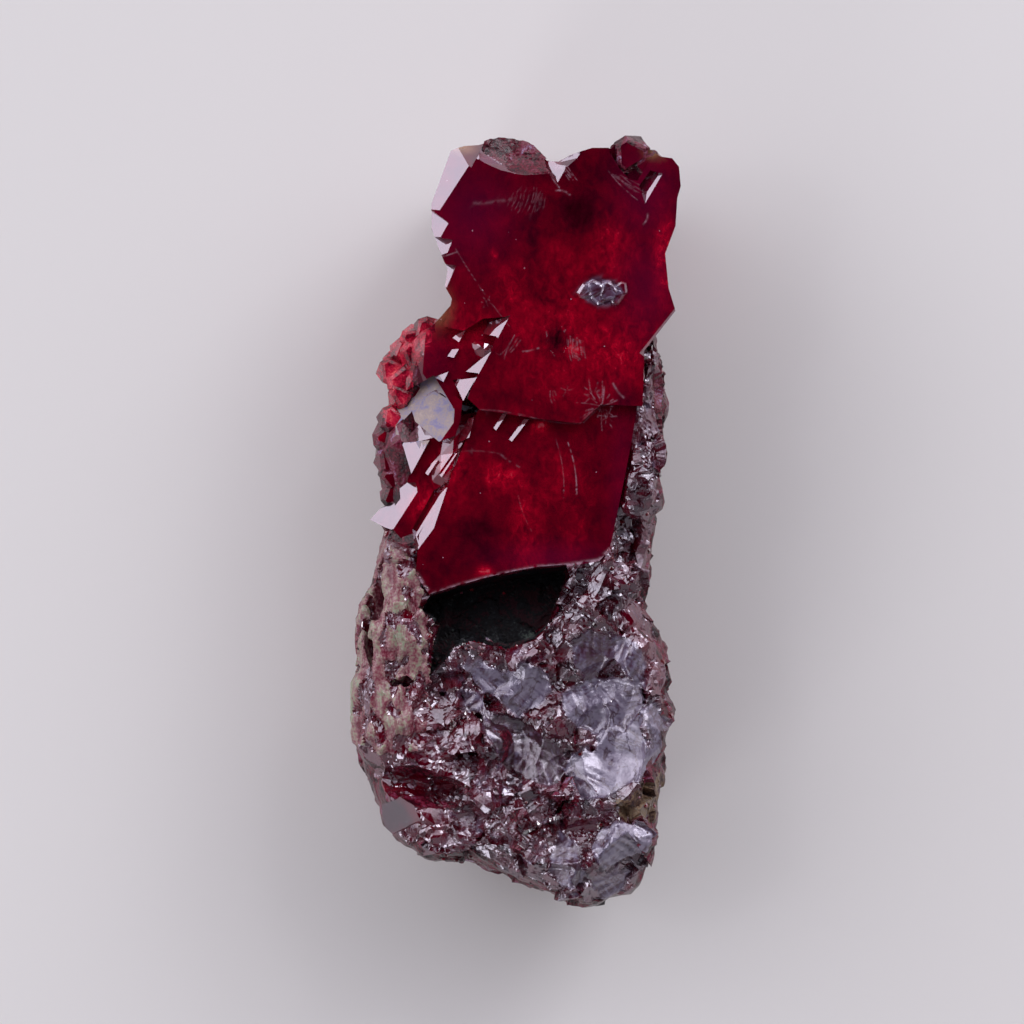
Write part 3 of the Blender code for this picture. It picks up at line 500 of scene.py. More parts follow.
# How much flatter the chips are in a place, and how rough the few chipped parts of the clear end are
CALMED = {"recess": 0.85, "crust": 0.75, "glassy": 0.75, "shell": 0.93}
CLEAR_SIDE_CHIPS = 0.12
TOP_BREAK_CHIPS = 0.3
still = np.array([any(face[kept] for face in vertex.link_faces) for vertex in form.verts])
gem_depth = distance_inside(places, GEM_AREA)
terrace = share(distance_inside(places, TERRACE_AREA), 0.0, 0.1) * (heights > TOP_FORMS_ABOVE)
top_break = np.max([share(distance_inside(places, outline), 0.0, 0.1) for outline in TOP_BREAKS], axis=0)
recess = share(distance_inside(places, RECESS_AREA) + 0.25 * edge_wander, 0.0, 0.15)
recess *= (heights < RECESS_HEIGHTS[1]) * (heights > RECESS_HEIGHTS[0])
ochre = share(distance_inside(places, OCHRE_AREA) + 1.3 * edge_wander, -0.25, 0.35) * (heights > 6.0)
clear_sides = share(distance_inside(places, CLEAR_AREA), 0.0, 0.1)
clear_sides = np.maximum(clear_sides, share(places[:, 1], 11.6, 12.4))
rough = share(-gem_depth, 0.0, 0.35) * off_floor * (1.0 - clear_sides) * (1.0 - terrace)
for outline in GLASSY_AREAS:
    glassy = np.maximum(glassy, 0.85 * share(distance_inside(places, outline) + edge_wander, -0.1, 0.5))
for name, values in (("recess", recess), ("crust", crust), ("glassy", glassy)):
    rough *= 1.0 - CALMED[name] * values
rough = np.maximum(rough, CLEAR_SIDE_CHIPS * clear_sides * share(normals[:, 2], 0.6, 0.3) * off_floor)
rough = np.maximum(rough, TOP_BREAK_CHIPS * top_break * (heights > TOP_FORMS_ABOVE))
crumbly = rough * (1.0 - CALMED["shell"] * shell)
steady = 0.45 + 0.55 * share(np.abs(normals[:, 2]), 0.2, 0.7)
hackly = share(noise_at(places, 2.2, 21.5), -0.25, 0.3) * share(normals[:, 2], 0.2, 0.45)
offset = large * crumbly * steady + middling * crumbly * steady * (0.4 + 0.5 * hackly)
offset += small * crumbly * (0.1 + 0.6 * hackly) * share(normals[:, 2], 0.1, 0.35)
offset += ripples + crust_relief
offset[still] = 0.0
moved = places + normals * offset[:, None]
from_pit = (places[:, :2] - SHIFT - np.array(PIT_MIDDLE)) / np.array(PIT_RADII)
in_pit = (np.hypot(from_pit[:, 0], from_pit[:, 1]) < 1.0) & (heights > 12.0)
moved[in_pit, 2] += PIT_LIFT * (GREAT_FRONT - moved[in_pit, 2])
moved = np.clip(moved, np.array(cad_low) / MM, np.array(cad_high) / MM)
for vertex, place in zip(form.verts, moved):
    vertex.co = Vector(place) * MM
print("chipped points:", int((rough > 0.3).sum()))

# %% [markdown]
# ## Painted light and dark inside
# The crystal isn't one even red. Healed cracks inside catch the light and glow, and dark patches of
# shade lie between them. They are too fine and too many to model one by one, so the glow and the shade
# are painted into the colour. Each is a soft spot with a middle, radii and a strength, and the clear
# finish breaks the spots up with noise. A purple sheen is painted in the same way.

# %% Soft spots: middle, radii, strength
# Painted glow: bright spots where light caught inside is painted into the colour
PAINTED_GLOW_SPOTS = [
    ((2.6, 10.9), (3.6, 4.6), 0.5), ((-0.9, 2.5), (1.5, 0.9), 0.8), ((1.4, 5.4), (0.42, 0.3), 2.0),
    ((5.6, 9.9), (2.2, 2.0), 0.7), ((5.6, 15.7), (1.4, 2.3), 0.55), ((8.5, 15.2), (0.6, 2.7), 0.9),
    ((6.3, 11.1), (2.3, 1.8), 0.45), ((-2.7, 11.1), (2.2, 1.2), 0.45), ((0.6, -0.4), (1.0, 3.4), 0.6),
    ((-0.2, 13.1), (1.0, 1.6), 0.6), ((-5.3, 1.2), (0.8, 1.3), 0.8), ((-3.8, 3.0), (1.2, 1.9), 0.6),
    ((2.6, 2.4), (3.0, 2.6), 0.3), ((-6.5, 10.6), (2.0, 1.5), 0.85), ((6.55, -21.1), (0.3, 0.5), 1.4),
    ((-8.1, 5.3), (0.5, 3.0), 0.7), ((8.1, 10.2), (0.9, 1.6), 0.6), ((-7.2, -15.4), (2.6, 0.5), 0.5),
    ((3.5, -0.3), (0.9, 2.4), 0.35), ((3.2, 9.9), (0.6, 0.7), 0.9), ((-6.1, -5.4), (0.5, 1.0), 0.3),
    ((-1.3, 15.2), (0.25, 0.4), 0.9), ((1.0, -3.6), (0.5, 0.3), 0.8), ((-1.8, -2.9), (0.4, 0.3), 1.0),
]
# Painted shade: dark patches, the dark pit among them, painted into the colour
PAINTED_SHADE_SPOTS = [
    ((4.0, 17.9), (1.7, 1.3), 1.0), ((1.4, 13.4), (1.0, 1.5), 0.6), ((-2.4, -1.2), (2.4, 1.5), 0.5),
    ((4.3, 0.2), (1.7, 3.4), 0.35), ((-0.9, 19.8), (3.0, 1.5), 0.2), ((5.0, 20.2), (2.0, 1.2), 0.4),
    ((2.35, 10.3), (0.6, 0.78), 1.8), ((1.0, 15.0), (0.5, 2.4), 0.6), ((5.2, -20.6), (2.4, 1.6), 1.0),
    ((-7.0, -17.2), (1.0, 1.0), 0.8),
    ((-6.0, -14.8), (3.5, 0.7), 0.3),
]
# Painted purple sheen: spots where a purple reflection is painted into the colour
PAINTED_SHEEN_SPOTS = [
    ((-2.6, 17.6), (2.6, 2.8), 0.4), ((7.6, 18.9), (2.0, 3.0), 0.4), ((7.6, 13.5), (1.8, 3.0), 0.4),
    ((2.2, -2.2), (3.4, 0.9), 0.4), ((-5.0, 9.8), (1.6, 2.6), 0.2), ((6.2, 1.5), (0.8, 5.0), 0.3),
]
SKINS = [
    ((-3.1, 21.6), (0.75, 0.3), 1.0), ((-4.5, 12.3), (0.55, 0.9), 0.9), ((-5.1, 11.7), (0.45, 0.4), 1.3),
    ((7.9, 21.2), (0.4, 0.3), 0.8), ((1.5, 21.9), (1.2, 0.25), 0.4), ((-9.0, 8.9), (0.3, 0.5), 0.6),
]


def spots(points, table):
    """The strongest of a table's soft spots at each point."""
    strongest = np.zeros(len(points))
    for middle, radii, strength in table:
        away = (points[:, :2] - SHIFT - np.array(middle)) / np.array(radii)
        strongest = np.maximum(strongest, strength * np.exp(-np.einsum("ij,ij->i", away, away)))
    return strongest


painted_glow = spots(places, PAINTED_GLOW_SPOTS)
marked = stroke_marks(places) * still * (normals[:, 2] > 0.5)
on_stroke = np.flatnonzero(marked > 0.02)
marked[on_stroke] *= share(noise_at(places[on_stroke], 0.22, 6.6), -0.45, 0.15)
cluster = share(distance_inside(places, CLUSTER_AREA) + 0.4 * edge_wander, -0.1, 0.3)
# Among these masks are the painted glow and shade, the strength of the painted flame streaks, the painted
# purple sheen and the painted lead-grey sheen of the shells
masks = {
    "tone_and_painted_glow": 0.33 + 0.5 * painted_glow - 0.26 * spots(places, PAINTED_SHADE_SPOTS),
    "painted_flare": np.clip(0.16 + 0.75 * painted_glow, 0.0, 1.0),
    "painted_purple_sheen": spots(places, PAINTED_SHEEN_SPOTS),
    "skin": np.clip(spots(places, SKINS), 0.0, 1.0),
    "stroke": marked,
    "broken": np.maximum(rough, 0.35 * glassy) * np.where(still, 0.0, 1.0),
    "shell": shell,
    "painted_lead_sheen": painted_lead_sheen,
    "cluster": cluster,
    "crust": crust,
    "recess": recess,
    "ochre": ochre,
    "tint": tints,
}

# %% [markdown]
# ## One closed mesh
# The crystal stays one closed mesh, as the real one grew. Every mask travels with it as a value on
# each point, so the finishes can read it. Faces on the crust, in the recess and on the ochre patch
# take finishes of their own, because nothing shines through them. So do the thick broken flanks and
# tops, the little bright cluster, and the square face, whose dusting of fine clay is paled further by
# a painted flash highlight.

# %% Make the piece
FINISHES = ("clear", "crust", "recess", "ochre", "dull", "cluster", "dust_and_painted_flash")
COATED = 0.55
FLANK_LOOKS_UP = {"lower root": 0.5, "elsewhere": 0.32}
FLANK_LOOKS_DOWN = -0.6
LOWER_ROOT_BELOW = -12.0
CLEAR_END_ABOVE = 11.3
RESTING_BELOW = 0.4
OUTER_TERRACE = -5.6


def in_each_face(values):
    """The mean of a value over each face's three corners."""
    return values[corners].mean(axis=1)


def store(name, values):
    """Puts one value on each point of the piece, for the finishes and the crumbs to read."""
    mesh.attributes.new(name, "FLOAT", "POINT").data.foreach_set("value", values.astype(np.float32))


mesh = bpy.data.meshes.new("cuprite")
form.to_mesh(mesh)
form.free()
corners = np.empty(3 * len(mesh.polygons), np.int32)
mesh.loops.foreach_get("vertex_index", corners)
corners = corners.reshape(-1, 3)
slots = np.zeros(len(corners), np.int32)
for name in ("crust", "recess", "ochre"):
    slots[in_each_face(masks[name]) > COATED] = FINISHES.index(name)
upward = in_each_face(normals)[:, 2]
middles = in_each_face(places)
all_still = still[corners].all(axis=1)
on_lower_root = middles[:, 1] < LOWER_ROOT_BELOW
flank = upward < np.where(on_lower_root, FLANK_LOOKS_UP["lower root"], FLANK_LOOKS_UP["elsewhere"])
flank &= (upward > FLANK_LOOKS_DOWN) & (middles[:, 1] < CLEAR_END_ABOVE) & (middles[:, 2] > RESTING_BELOW)
flank |= (in_each_face(top_break) > 0.5) & (middles[:, 2] > TOP_FORMS_ABOVE)
flank |= (in_each_face(terrace) > 0.5) & (middles[:, 0] < OUTER_TERRACE)
slots[flank & ~all_still & (slots == 0)] = FINISHES.index("dull")
slots[(in_each_face(cluster) > 0.5) & (middles[:, 2] > FRONT_ABOVE)] = FINISHES.index("cluster")
sides = moved[corners[:, 1:]] - moved[corners[:, :1]]
facing = np.cross(sides[:, 0], sides[:, 1])
facing /= np.linalg.norm(facing, axis=1)[:, None]
# The square face's flashing faces take the dust finish, which also paints in their flash highlight
flashing = facing @ np.array(flat_ways[1]) > SAME_WAY
slots[flashing & (distance_inside(middles, SQUARE_FACE) > -0.3)] = FINISHES.index("dust_and_painted_flash")
mesh.polygons.foreach_set("material_index", slots)
smooth = (shell[corners].min(axis=1) > 0.5) & ~still[corners].any(axis=1)
mesh.polygons.foreach_set("use_smooth", smooth | (slots == FINISHES.index("crust")))
for name, values in masks.items():
    store(name, values)
cuprite = bpy.data.objects.new("cuprite", mesh)
bpy.context.scene.collection.objects.link(cuprite)
print("piece:", len(mesh.polygons), "triangles")


# %% Colours and nodes
def linear(hex_colour):
    """An sRGB hex value as the linear colour that a shader wants."""
    parts = [int(hex_colour[i:i + 2], 16) / 255 for i in (1, 3, 5)]
    return tuple(p / 12.92 if p <= 0.04045 else ((p + 0.055) / 1.055) ** 2.4 for p in parts) + (1.0,)


def add(tree, kind, inputs=(), stops=(), **settings):
    """Adds a node. Its inputs are values or other nodes, by name or in order; stops fill its ramp."""
    node = tree.nodes.new(kind)
    for name, value in settings.items():
        setattr(node, name, value)
    for name, value in inputs.items() if isinstance(inputs, dict) else enumerate(inputs):
        if isinstance(value, bpy.types.Node):
            value = value.outputs[0]
        if isinstance(value, bpy.types.NodeSocket):
            tree.links.new(value, node.inputs[name])
        else:
            node.inputs[name].default_value = value
    for place, (position, colour) in enumerate(stops):
        element = node.color_ramp.elements[place] if place < 2 else node.color_ramp.elements.new(position)
        element.position = position
        element.color = linear(colour)
    return node


def new_material(name):
    """A material with an empty tree."""
    material = bpy.data.materials.new(name)
    material.use_nodes = True
    material.node_tree.nodes.clear()
    return material, material.node_tree


def per_metre(millimetres):
    """The noise scale that gives features of a size in millimetres."""
    return 1.0 / (millimetres * MM)


# %% [markdown]
# ## Clear cuprite
# Cuprite bends light more than diamond does, with an index of 2.85, and its clear red comes from
# strong absorption on the way through. Growth faces are mirror smooth. Broken ones are satin, and so
# much light reflects from them that they look lead-grey, and that lead-grey sheen is also painted into
# their colour. The glow and shade of healed cracks inside are painted into the scattered part of the
# light, with painted flame streaks, glints and a purple sheen.

# %% Red, with painted glow, shade, glints and sheen
CUPRITE_INDEX = 2.85
CUPRITE_SPECULAR = 0.28
LET_THROUGH = 0.5
ABSORBED_PER_METRE = 150.0
PINPOINT_GLINT_SIZE = 0.036
clear_cuprite, tree = new_material("clear_cuprite")
where = add(tree, "ShaderNodeTexCoord").outputs["Object"]
marks = {name: add(tree, "ShaderNodeAttribute", attribute_name=name).outputs["Fac"] for name in masks}
clouds = add(tree, "ShaderNodeTexNoise", {
    "Vector": where, "Scale": per_metre(1.8), "Detail": 4.0, "Roughness": 0.55, "Distortion": 0.5,
})
# Painted flames: stretched streaks of bright red, strongest where the painted glow is
upright = add(tree, "ShaderNodeMapping", {"Vector": where, "Scale": (1.0, 0.62, 1.0)})
flames = add(tree, "ShaderNodeTexNoise", {
    "Vector": upright, "Scale": per_metre(0.42), "Detail": 6.0, "Roughness": 0.72, "Distortion": 0.6,
})
cloudy = add(tree, "ShaderNodeMath", [clouds, 0.5], operation="SUBTRACT")
flaming = add(tree, "ShaderNodeMath", [flames, 0.5], operation="SUBTRACT")
tone_and_painted_glow = add(tree, "ShaderNodeMath", [cloudy, 0.55, marks["tone_and_painted_glow"]], operation="MULTIPLY_ADD")
painted_flare = add(tree, "ShaderNodeMath", [flaming, marks["painted_flare"]], operation="MULTIPLY")
tone_and_painted_glow = add(tree, "ShaderNodeMath", [painted_flare, 2.3, tone_and_painted_glow], operation="MULTIPLY_ADD")
# The ramp runs from the painted shade through the body's red to the painted glow
red = add(tree, "ShaderNodeValToRGB", [tone_and_painted_glow], stops=[
    (0.0, "#1C0008"), (1.0, "#FF6A78"), (0.2, "#56001A"), (0.42, "#8C0020"), (0.62, "#BC0228"),
    (0.8, "#F40A34"),
])
# Painted glints: small bright red sparks where the painted glow is strong
painted_glints = add(tree, "ShaderNodeTexVoronoi", {"Vector": where, "Scale": per_metre(0.42), "Randomness": 1.0})
painted_glints = add(tree, "ShaderNodeMapRange", {
    "Value": painted_glints.outputs["Distance"], "From Min": 0.06, "From Max": 0.15, "To Min": 1.0, "To Max": 0.0,
})
lit = add(tree, "ShaderNodeMapRange", {
    "Value": tone_and_painted_glow, "From Min": 0.5, "From Max": 0.66, "To Min": 0.0, "To Max": 0.8,
})
painted_glints = add(tree, "ShaderNodeMath", [painted_glints, lit], operation="MULTIPLY")
painted_glint_red = linear("#FF3450")
red = add(tree, "ShaderNodeMix", {0: painted_glints, 6: red.outputs[0], 7: painted_glint_red}, data_type="RGBA")
# Painted purple sheen mixed into the red
painted_purple_sheen_colour = linear("#7C0E44")
red = add(tree, "ShaderNodeMix", {0: marks["painted_purple_sheen"], 6: red.outputs[2], 7: painted_purple_sheen_colour}, data_type="RGBA")
# Pale specks are painted pinpoint glints; they share the pale colour of the hairlines and the painted rim
# highlight
pinpoint_glints = add(tree, "ShaderNodeTexVoronoi", {"Vector": where, "Scale": per_metre(1.15), "Randomness": 1.0})
pinpoint_glints = add(tree, "ShaderNodeMath", [pinpoint_glints.outputs["Distance"], PINPOINT_GLINT_SIZE], operation="LESS_THAN")
pale_hairlines_and_glints = add(tree, "ShaderNodeMath", [pinpoint_glints, marks["stroke"]], operation="MAXIMUM")
hairline_and_glint_pale = linear("#D0A2B4")
red = add(tree, "ShaderNodeMix", {0: pale_hairlines_and_glints, 6: red.outputs[2], 7: hairline_and_glint_pale}, data_type="RGBA")

# %% Broken places, shells and skins
fine = add(tree, "ShaderNodeTexNoise", {
    "Vector": where, "Scale": per_metre(0.8), "Detail": 5.0, "Roughness": 0.65,
})
# Each chip's tint runs its colour from dark red stain to a painted lead-grey sheen
chip_stain_and_sheen = add(tree, "ShaderNodeMath", [marks["tint"], 0.2, fine], operation="MULTIPLY_ADD")
stain_and_painted_sheen = add(tree, "ShaderNodeValToRGB", [chip_stain_and_sheen], stops=[
    (0.3, "#200209"), (0.84, "#988CA8"), (0.44, "#500616"), (0.57, "#700C22"), (0.7, "#6C2E48"),
])
# The shells' painted lead-grey sheen, broken by dark red lines where it stops
broad = add(tree, "ShaderNodeTexNoise", {
    "Vector": where, "Scale": per_metre(2.1), "Detail": 5.0, "Roughness": 0.6, "Distortion": 1.2,
})
crack = add(tree, "ShaderNodeMath", [broad, 0.5], operation="SUBTRACT")
crack = add(tree, "ShaderNodeMath", [crack], operation="ABSOLUTE")
shine = add(tree, "ShaderNodeMath", [broad, 0.9, -0.45], operation="MULTIPLY_ADD")
shine = add(tree, "ShaderNodeMath", [shine, marks["painted_lead_sheen"]], operation="ADD")
lead = add(tree, "ShaderNodeValToRGB", [shine], stops=[
    (0.0, "#2C0610"), (1.0, "#ACA2BC"), (0.3, "#4A1A2C"), (0.5, "#6A4A66"), (0.76, "#887C9A"),
])
crack = add(tree, "ShaderNodeValToRGB", [crack], stops=[(0.0, "#303030"), (0.03, "#FFFFFF")])
dark_red = linear("#3E0A1A")
lead = add(tree, "ShaderNodeMix", {0: crack.outputs[0], 6: dark_red, 7: lead.outputs[0]}, data_type="RGBA")
layers = [
    (marks["broken"], stain_and_painted_sheen.outputs[0]), (marks["shell"], lead.outputs[2]),
    (marks["ochre"], linear("#6A5236")), (marks["crust"], linear("#7A4C50")),
    (marks["skin"], linear("#DCA878")), (marks["cluster"], linear("#C01838")),
]
body_colour = red.outputs[2]
for amount, colour in layers:
    softened = add(tree, "ShaderNodeMath", [amount, 0.85], operation="MULTIPLY")
    body_colour = add(tree, "ShaderNodeMix", {0: softened, 6: body_colour, 7: colour}, data_type="RGBA")
    body_colour = body_colour.outputs[2]

# %% Clear cuprite's shader
grain = add(tree, "ShaderNodeTexNoise", {"Vector": where, "Scale": per_metre(0.16), "Detail": 3.0})
satin = add(tree, "ShaderNodeMath", [marks["broken"], 0.13, 0.035], operation="MULTIPLY_ADD")
satin = add(tree, "ShaderNodeMath", [marks["shell"], 0.11, satin], operation="MULTIPLY_ADD")
satin = add(tree, "ShaderNodeMath", [pale_hairlines_and_glints, 0.3, satin], operation="MULTIPLY_ADD")
uneven = add(tree, "ShaderNodeMath", [marks["broken"], 0.5, 0.015], operation="MULTIPLY_ADD")
bump = add(tree, "ShaderNodeBump", {"Distance": 0.00004, "Height": grain, "Strength": uneven.outputs[0]})
shader = add(tree, "ShaderNodeBsdfPrincipled", {
    "Base Color": body_colour, "Roughness": satin, "Normal": bump, "IOR": CUPRITE_INDEX,
    "Transmission Weight": LET_THROUGH, "Specular IOR Level": CUPRITE_SPECULAR,
    "Specular Tint": linear("#F2ECF8"),
})
depth = add(tree, "ShaderNodeVolumeAbsorption", {
    "Color": linear("#E02030"), "Density": ABSORBED_PER_METRE,
})
add(tree, "ShaderNodeOutputMaterial", {"Surface": shader, "Volume": depth})
mesh.materials.append(clear_cuprite)

# %% [markdown]
# ## Pale crust, dark recess, ochre patch
# The crust is a thin glossy coat, pink-grey with greenish cream streaks. The recess is black cuprite
# with a little green dust of copper carbonate. The ochre patch is clay. Thick broken cuprite on the
# flanks lets no light through, the small bright cluster scatters it all, and the square face wears
# fine dust, paled further by a painted flash highlight. Each is noise through a ramp of its own
# colours, at its own size.

# %% Crust, recess, ochre, flanks, cluster and dust
COAT_INDEX = 1.6

# Name, size of its patches in mm, stretch, roughness, specular level, relief in mm, colours
COATS = [
    ("pale_crust", 0.9, (1.0, 0.32, 1.0), 0.24, 0.5, 0.05, [
        (0.3, "#46081A"), (0.78, "#8E9880"), (0.4, "#641A2C"), (0.48, "#7A3A48"), (0.58, "#8C6264"),
        (0.67, "#948474"),
    ]),
    ("dark_recess", 0.9, (1.0, 1.0, 1.0), 0.45, 0.12, 0.05, [
        (0.36, "#26040E"), (0.84, "#5A645C"), (0.46, "#070407"), (0.6, "#0D0B0F"), (0.7, "#1C1E22"),
    ]),
    ("ochre_clay", 0.7, (1.0, 0.5, 1.0), 0.5, 0.4, 0.05, [
        (0.35, "#2E1616"), (0.74, "#6E5A5C"), (0.45, "#553A2E"), (0.55, "#786048"), (0.64, "#756858"),
    ]),
    ("dull_cuprite", 0.8, (1.0, 0.6, 1.0), 0.26, 0.35, 0.06, [
        (0.3, "#16020A"), (0.8, "#94809E"), (0.45, "#400616"), (0.56, "#620E24"), (0.67, "#742E46"),
    ]),
    ("bright_cluster", 0.7, (1.0, 1.0, 1.0), 0.16, 0.5, 0.04, [
        (0.3, "#4E0216"), (0.84, "#EC9C80"), (0.45, "#920A26"), (0.58, "#BC1E3C"), (0.7, "#D84A54"),
    ]),
    # The square face's fine dust, paled further by a painted flash highlight
    ("dust_with_painted_flash", 0.6, (1.0, 1.0, 1.0), 0.4, 0.4, 0.01, [
        (0.3, "#716890"), (0.74, "#A4908A"), (0.44, "#857788"), (0.56, "#93807C"),
    ]),
]
for name, size, stretch, roughness, specular, relief, stops in COATS:
    material, tree = new_material(name)
    where = add(tree, "ShaderNodeTexCoord").outputs["Object"]
    flowing = add(tree, "ShaderNodeMapping", {"Vector": where, "Scale": stretch})
    broad = add(tree, "ShaderNodeTexNoise", {
        "Vector": flowing, "Scale": per_metre(size), "Detail": 5.0, "Roughness": 0.6, "Distortion": 0.6,
    })
    fine = add(tree, "ShaderNodeTexNoise", {"Vector": where, "Scale": per_metre(size / 6.0), "Detail": 4.0})
    fine_part = add(tree, "ShaderNodeMath", [fine, 0.5], operation="SUBTRACT")
    mixed = add(tree, "ShaderNodeMath", [fine_part, 0.55, broad], operation="MULTIPLY_ADD")
    tint = add(tree, "ShaderNodeAttribute", attribute_name="tint").outputs["Fac"]
    mixed = add(tree, "ShaderNodeMath", [tint, 0.1, mixed], operation="MULTIPLY_ADD")
    colour = add(tree, "ShaderNodeValToRGB", [mixed], stops=stops)
    bump = add(tree, "ShaderNodeBump", {"Distance": relief * MM, "Strength": 0.7, "Height": fine})
    shader = add(tree, "ShaderNodeBsdfPrincipled", {
        "Base Color": colour, "Roughness": roughness, "Normal": bump, "IOR": COAT_INDEX,
        "Specular IOR Level": specular,
    })
    add(tree, "ShaderNodeOutputMaterial", {"Surface": shader})
    mesh.materials.append(material)
print("finishes on the crystal:", [material.name for material in mesh.materials])

# %% [markdown]
# ## Crumbs: tiny crystals on the rough places
# The rough strip, the lower rim of the gem, the edge of the recess and the root are peppered with
# crystals too small to list. All grew in nearly the same lattice, so their faces are almost parallel
# and flash together. Geometry Nodes scatter them: points fall on the surface as a mask allows, and
# each gets one many-sided crystal with a size and a lean of its own, half sunk.

# %% One crumb
# Azimuth and tilt of each face, and how far it lies from the middle, before the crumb is scaled
CRUMB_FACES = [(0.0, 0.0, 0.34), (0.0, 180.0, 0.9)]
CRUMB_FACES += [(147.0 + 120.0 * turn, 35.26, 0.52) for turn in range(3)]
CRUMB_FACES += [(147.0 + 120.0 * turn, 80.0, 0.95) for turn in range(3)]
CRUMB_FACES += [(207.0 + 120.0 * turn, 66.0, 0.8) for turn in range(3)]

crumb_form = bmesh.new()
bmesh.ops.create_cube(crumb_form, size=8.0)
for azimuth, tilt, distance in CRUMB_FACES:
    normal = way_of(azimuth, tilt)
    parts = [*crumb_form.verts, *crumb_form.edges, *crumb_form.faces]
    cut = bmesh.ops.bisect_plane(
        crumb_form, geom=parts, plane_co=normal * distance, plane_no=normal, clear_outer=True
    )
    rim = [part for part in cut["geom_cut"] if isinstance(part, bmesh.types.BMEdge)]
    bmesh.ops.contextual_create(crumb_form, geom=rim)
bmesh.ops.recalc_face_normals(crumb_form, faces=crumb_form.faces)
bmesh.ops.triangulate(crumb_form, faces=crumb_form.faces)
crumb_mesh = bpy.data.meshes.new("crumb")
crumb_form.to_mesh(crumb_mesh)
crumb_form.free()
crumb = bpy.data.objects.new("crumb", crumb_mesh)
print("one crumb:", len(crumb_mesh.polygons), "triangles")

# %% Where crumbs grow
GROWTH = {"rim": 0.9, "strip": 0.1, "broken": 0.08, "recess edge": 0.5}
recess_depth = distance_inside(moved, RECESS_AREA)
clumps = share(noise_at(moved, 1.1, 17.0), 0.05, 0.4)
strip = share(distance_inside(moved, STRIP_AREA) + 0.4 * edge_wander, -0.1, 0.3)
on_rim = (masks["stroke"] > 0.3) * (distance_inside(moved, GEM_AREA) < 0.12) * (places[:, 1] < -1.0)
on_recess_edge = (np.abs(recess_depth + 0.2) < 0.3) * (places[:, 1] < -5.5)
broken = masks["broken"]
growth = GROWTH["rim"] * on_rim + GROWTH["strip"] * strip * clumps * broken
growth += GROWTH["broken"] * clumps * broken * (1.0 - shell) * (1.0 - crust)
growth += GROWTH["recess edge"] * on_recess_edge * clumps
growth *= (normals[:, 2] > 0.15) * (heights > 6.0) * (1.0 - 0.95 * share(places[:, 1], 12.0, 12.8))
for axis in range(2):
    room = np.minimum(moved[:, axis] - cad_low[axis] / MM, cad_high[axis] / MM - moved[:, axis])
    growth *= share(room, 0.1, 0.4)
store("ruddy", np.maximum(cluster, 0.6 * terrace))
store("growth", growth)

# %% What a crumb is made of
# Small thick crystals of cuprite look almost opaque, with the same adamantine shine as the large one
crumb_cuprite, tree = new_material("crumb_cuprite")
own = add(tree, "ShaderNodeAttribute", attribute_name="crumb_shade").outputs["Fac"]
among = add(tree, "ShaderNodeAttribute", attribute_name="ruddy").outputs["Fac"]
dark = add(tree, "ShaderNodeValToRGB", [own], stops=[
    (0.0, "#1E0208"), (1.0, "#8C7484"), (0.5, "#50060F"), (0.85, "#780E1E"),
])
bright = add(tree, "ShaderNodeValToRGB", [own], stops=[
    (0.0, "#7A041C"), (1.0, "#E04A4C"), (0.7, "#C01434"),
])
colour = add(tree, "ShaderNodeMix", {0: among, 6: dark.outputs[0], 7: bright.outputs[0]}, data_type="RGBA")
shader = add(tree, "ShaderNodeBsdfPrincipled", {
    "Base Color": colour.outputs[2], "Roughness": 0.1, "IOR": CUPRITE_INDEX,
    "Specular IOR Level": CUPRITE_SPECULAR,
})
add(tree, "ShaderNodeOutputMaterial", {"Surface": shader})

# %% Scatter the crumbs
CRUMBS = {"Most per square metre": 15.0e6, "Smallest": 0.045 * MM, "Largest": 0.17 * MM, "Seed": 12}
MOST_LEAN = (0.09, 0.09, 0.2)
FEW_LARGE = 2.2
SHADE_SEED = 77
tree = bpy.data.node_groups.new("scattered_crumbs", "GeometryNodeTree")
sockets = [("Surface", "NodeSocketGeometry"), ("Most per square metre", "NodeSocketFloat")]
sockets += [("Smallest", "NodeSocketFloat"), ("Largest", "NodeSocketFloat"), ("Seed", "NodeSocketInt")]
sockets += [("Crumb", "NodeSocketObject")]
for name, kind in sockets:
    tree.interface.new_socket(name, in_out="INPUT", socket_type=kind)
tree.interface.new_socket("Crumbs", in_out="OUTPUT", socket_type="NodeSocketGeometry")
given = add(tree, "NodeGroupInput").outputs
mask = add(tree, "GeometryNodeInputNamedAttribute", {"Name": "growth"}, data_type="FLOAT")
density = add(tree, "ShaderNodeMath", {
    0: mask.outputs["Attribute"], 1: given["Most per square metre"],
}, operation="MULTIPLY")
points = add(tree, "GeometryNodeDistributePointsOnFaces", {
    "Mesh": given["Surface"], "Density": density.outputs[0], "Seed": given["Seed"],
})
drawn = add(tree, "FunctionNodeRandomValue", {2: 0.0, 3: 1.0, "Seed": given["Seed"]}, data_type="FLOAT")
skewed = add(tree, "ShaderNodeMath", [drawn.outputs[1], FEW_LARGE], operation="POWER")
size = add(tree, "ShaderNodeMapRange", {
    "Value": skewed.outputs[0], "To Min": given["Smallest"], "To Max": given["Largest"],
})
lean = add(tree, "FunctionNodeRandomValue", {
    0: tuple(-angle for angle in MOST_LEAN), 1: MOST_LEAN, "Seed": given["Seed"],
}, data_type="FLOAT_VECTOR")
one = add(tree, "GeometryNodeObjectInfo", {"Object": given["Crumb"]})
placed = add(tree, "GeometryNodeInstanceOnPoints", {
    "Points": points.outputs["Points"], "Instance": one.outputs["Geometry"], "Rotation": lean.outputs[0],
    "Scale": size.outputs[0],
})
shade = add(tree, "FunctionNodeRandomValue", {2: 0.0, 3: 1.0, "Seed": SHADE_SEED}, data_type="FLOAT")
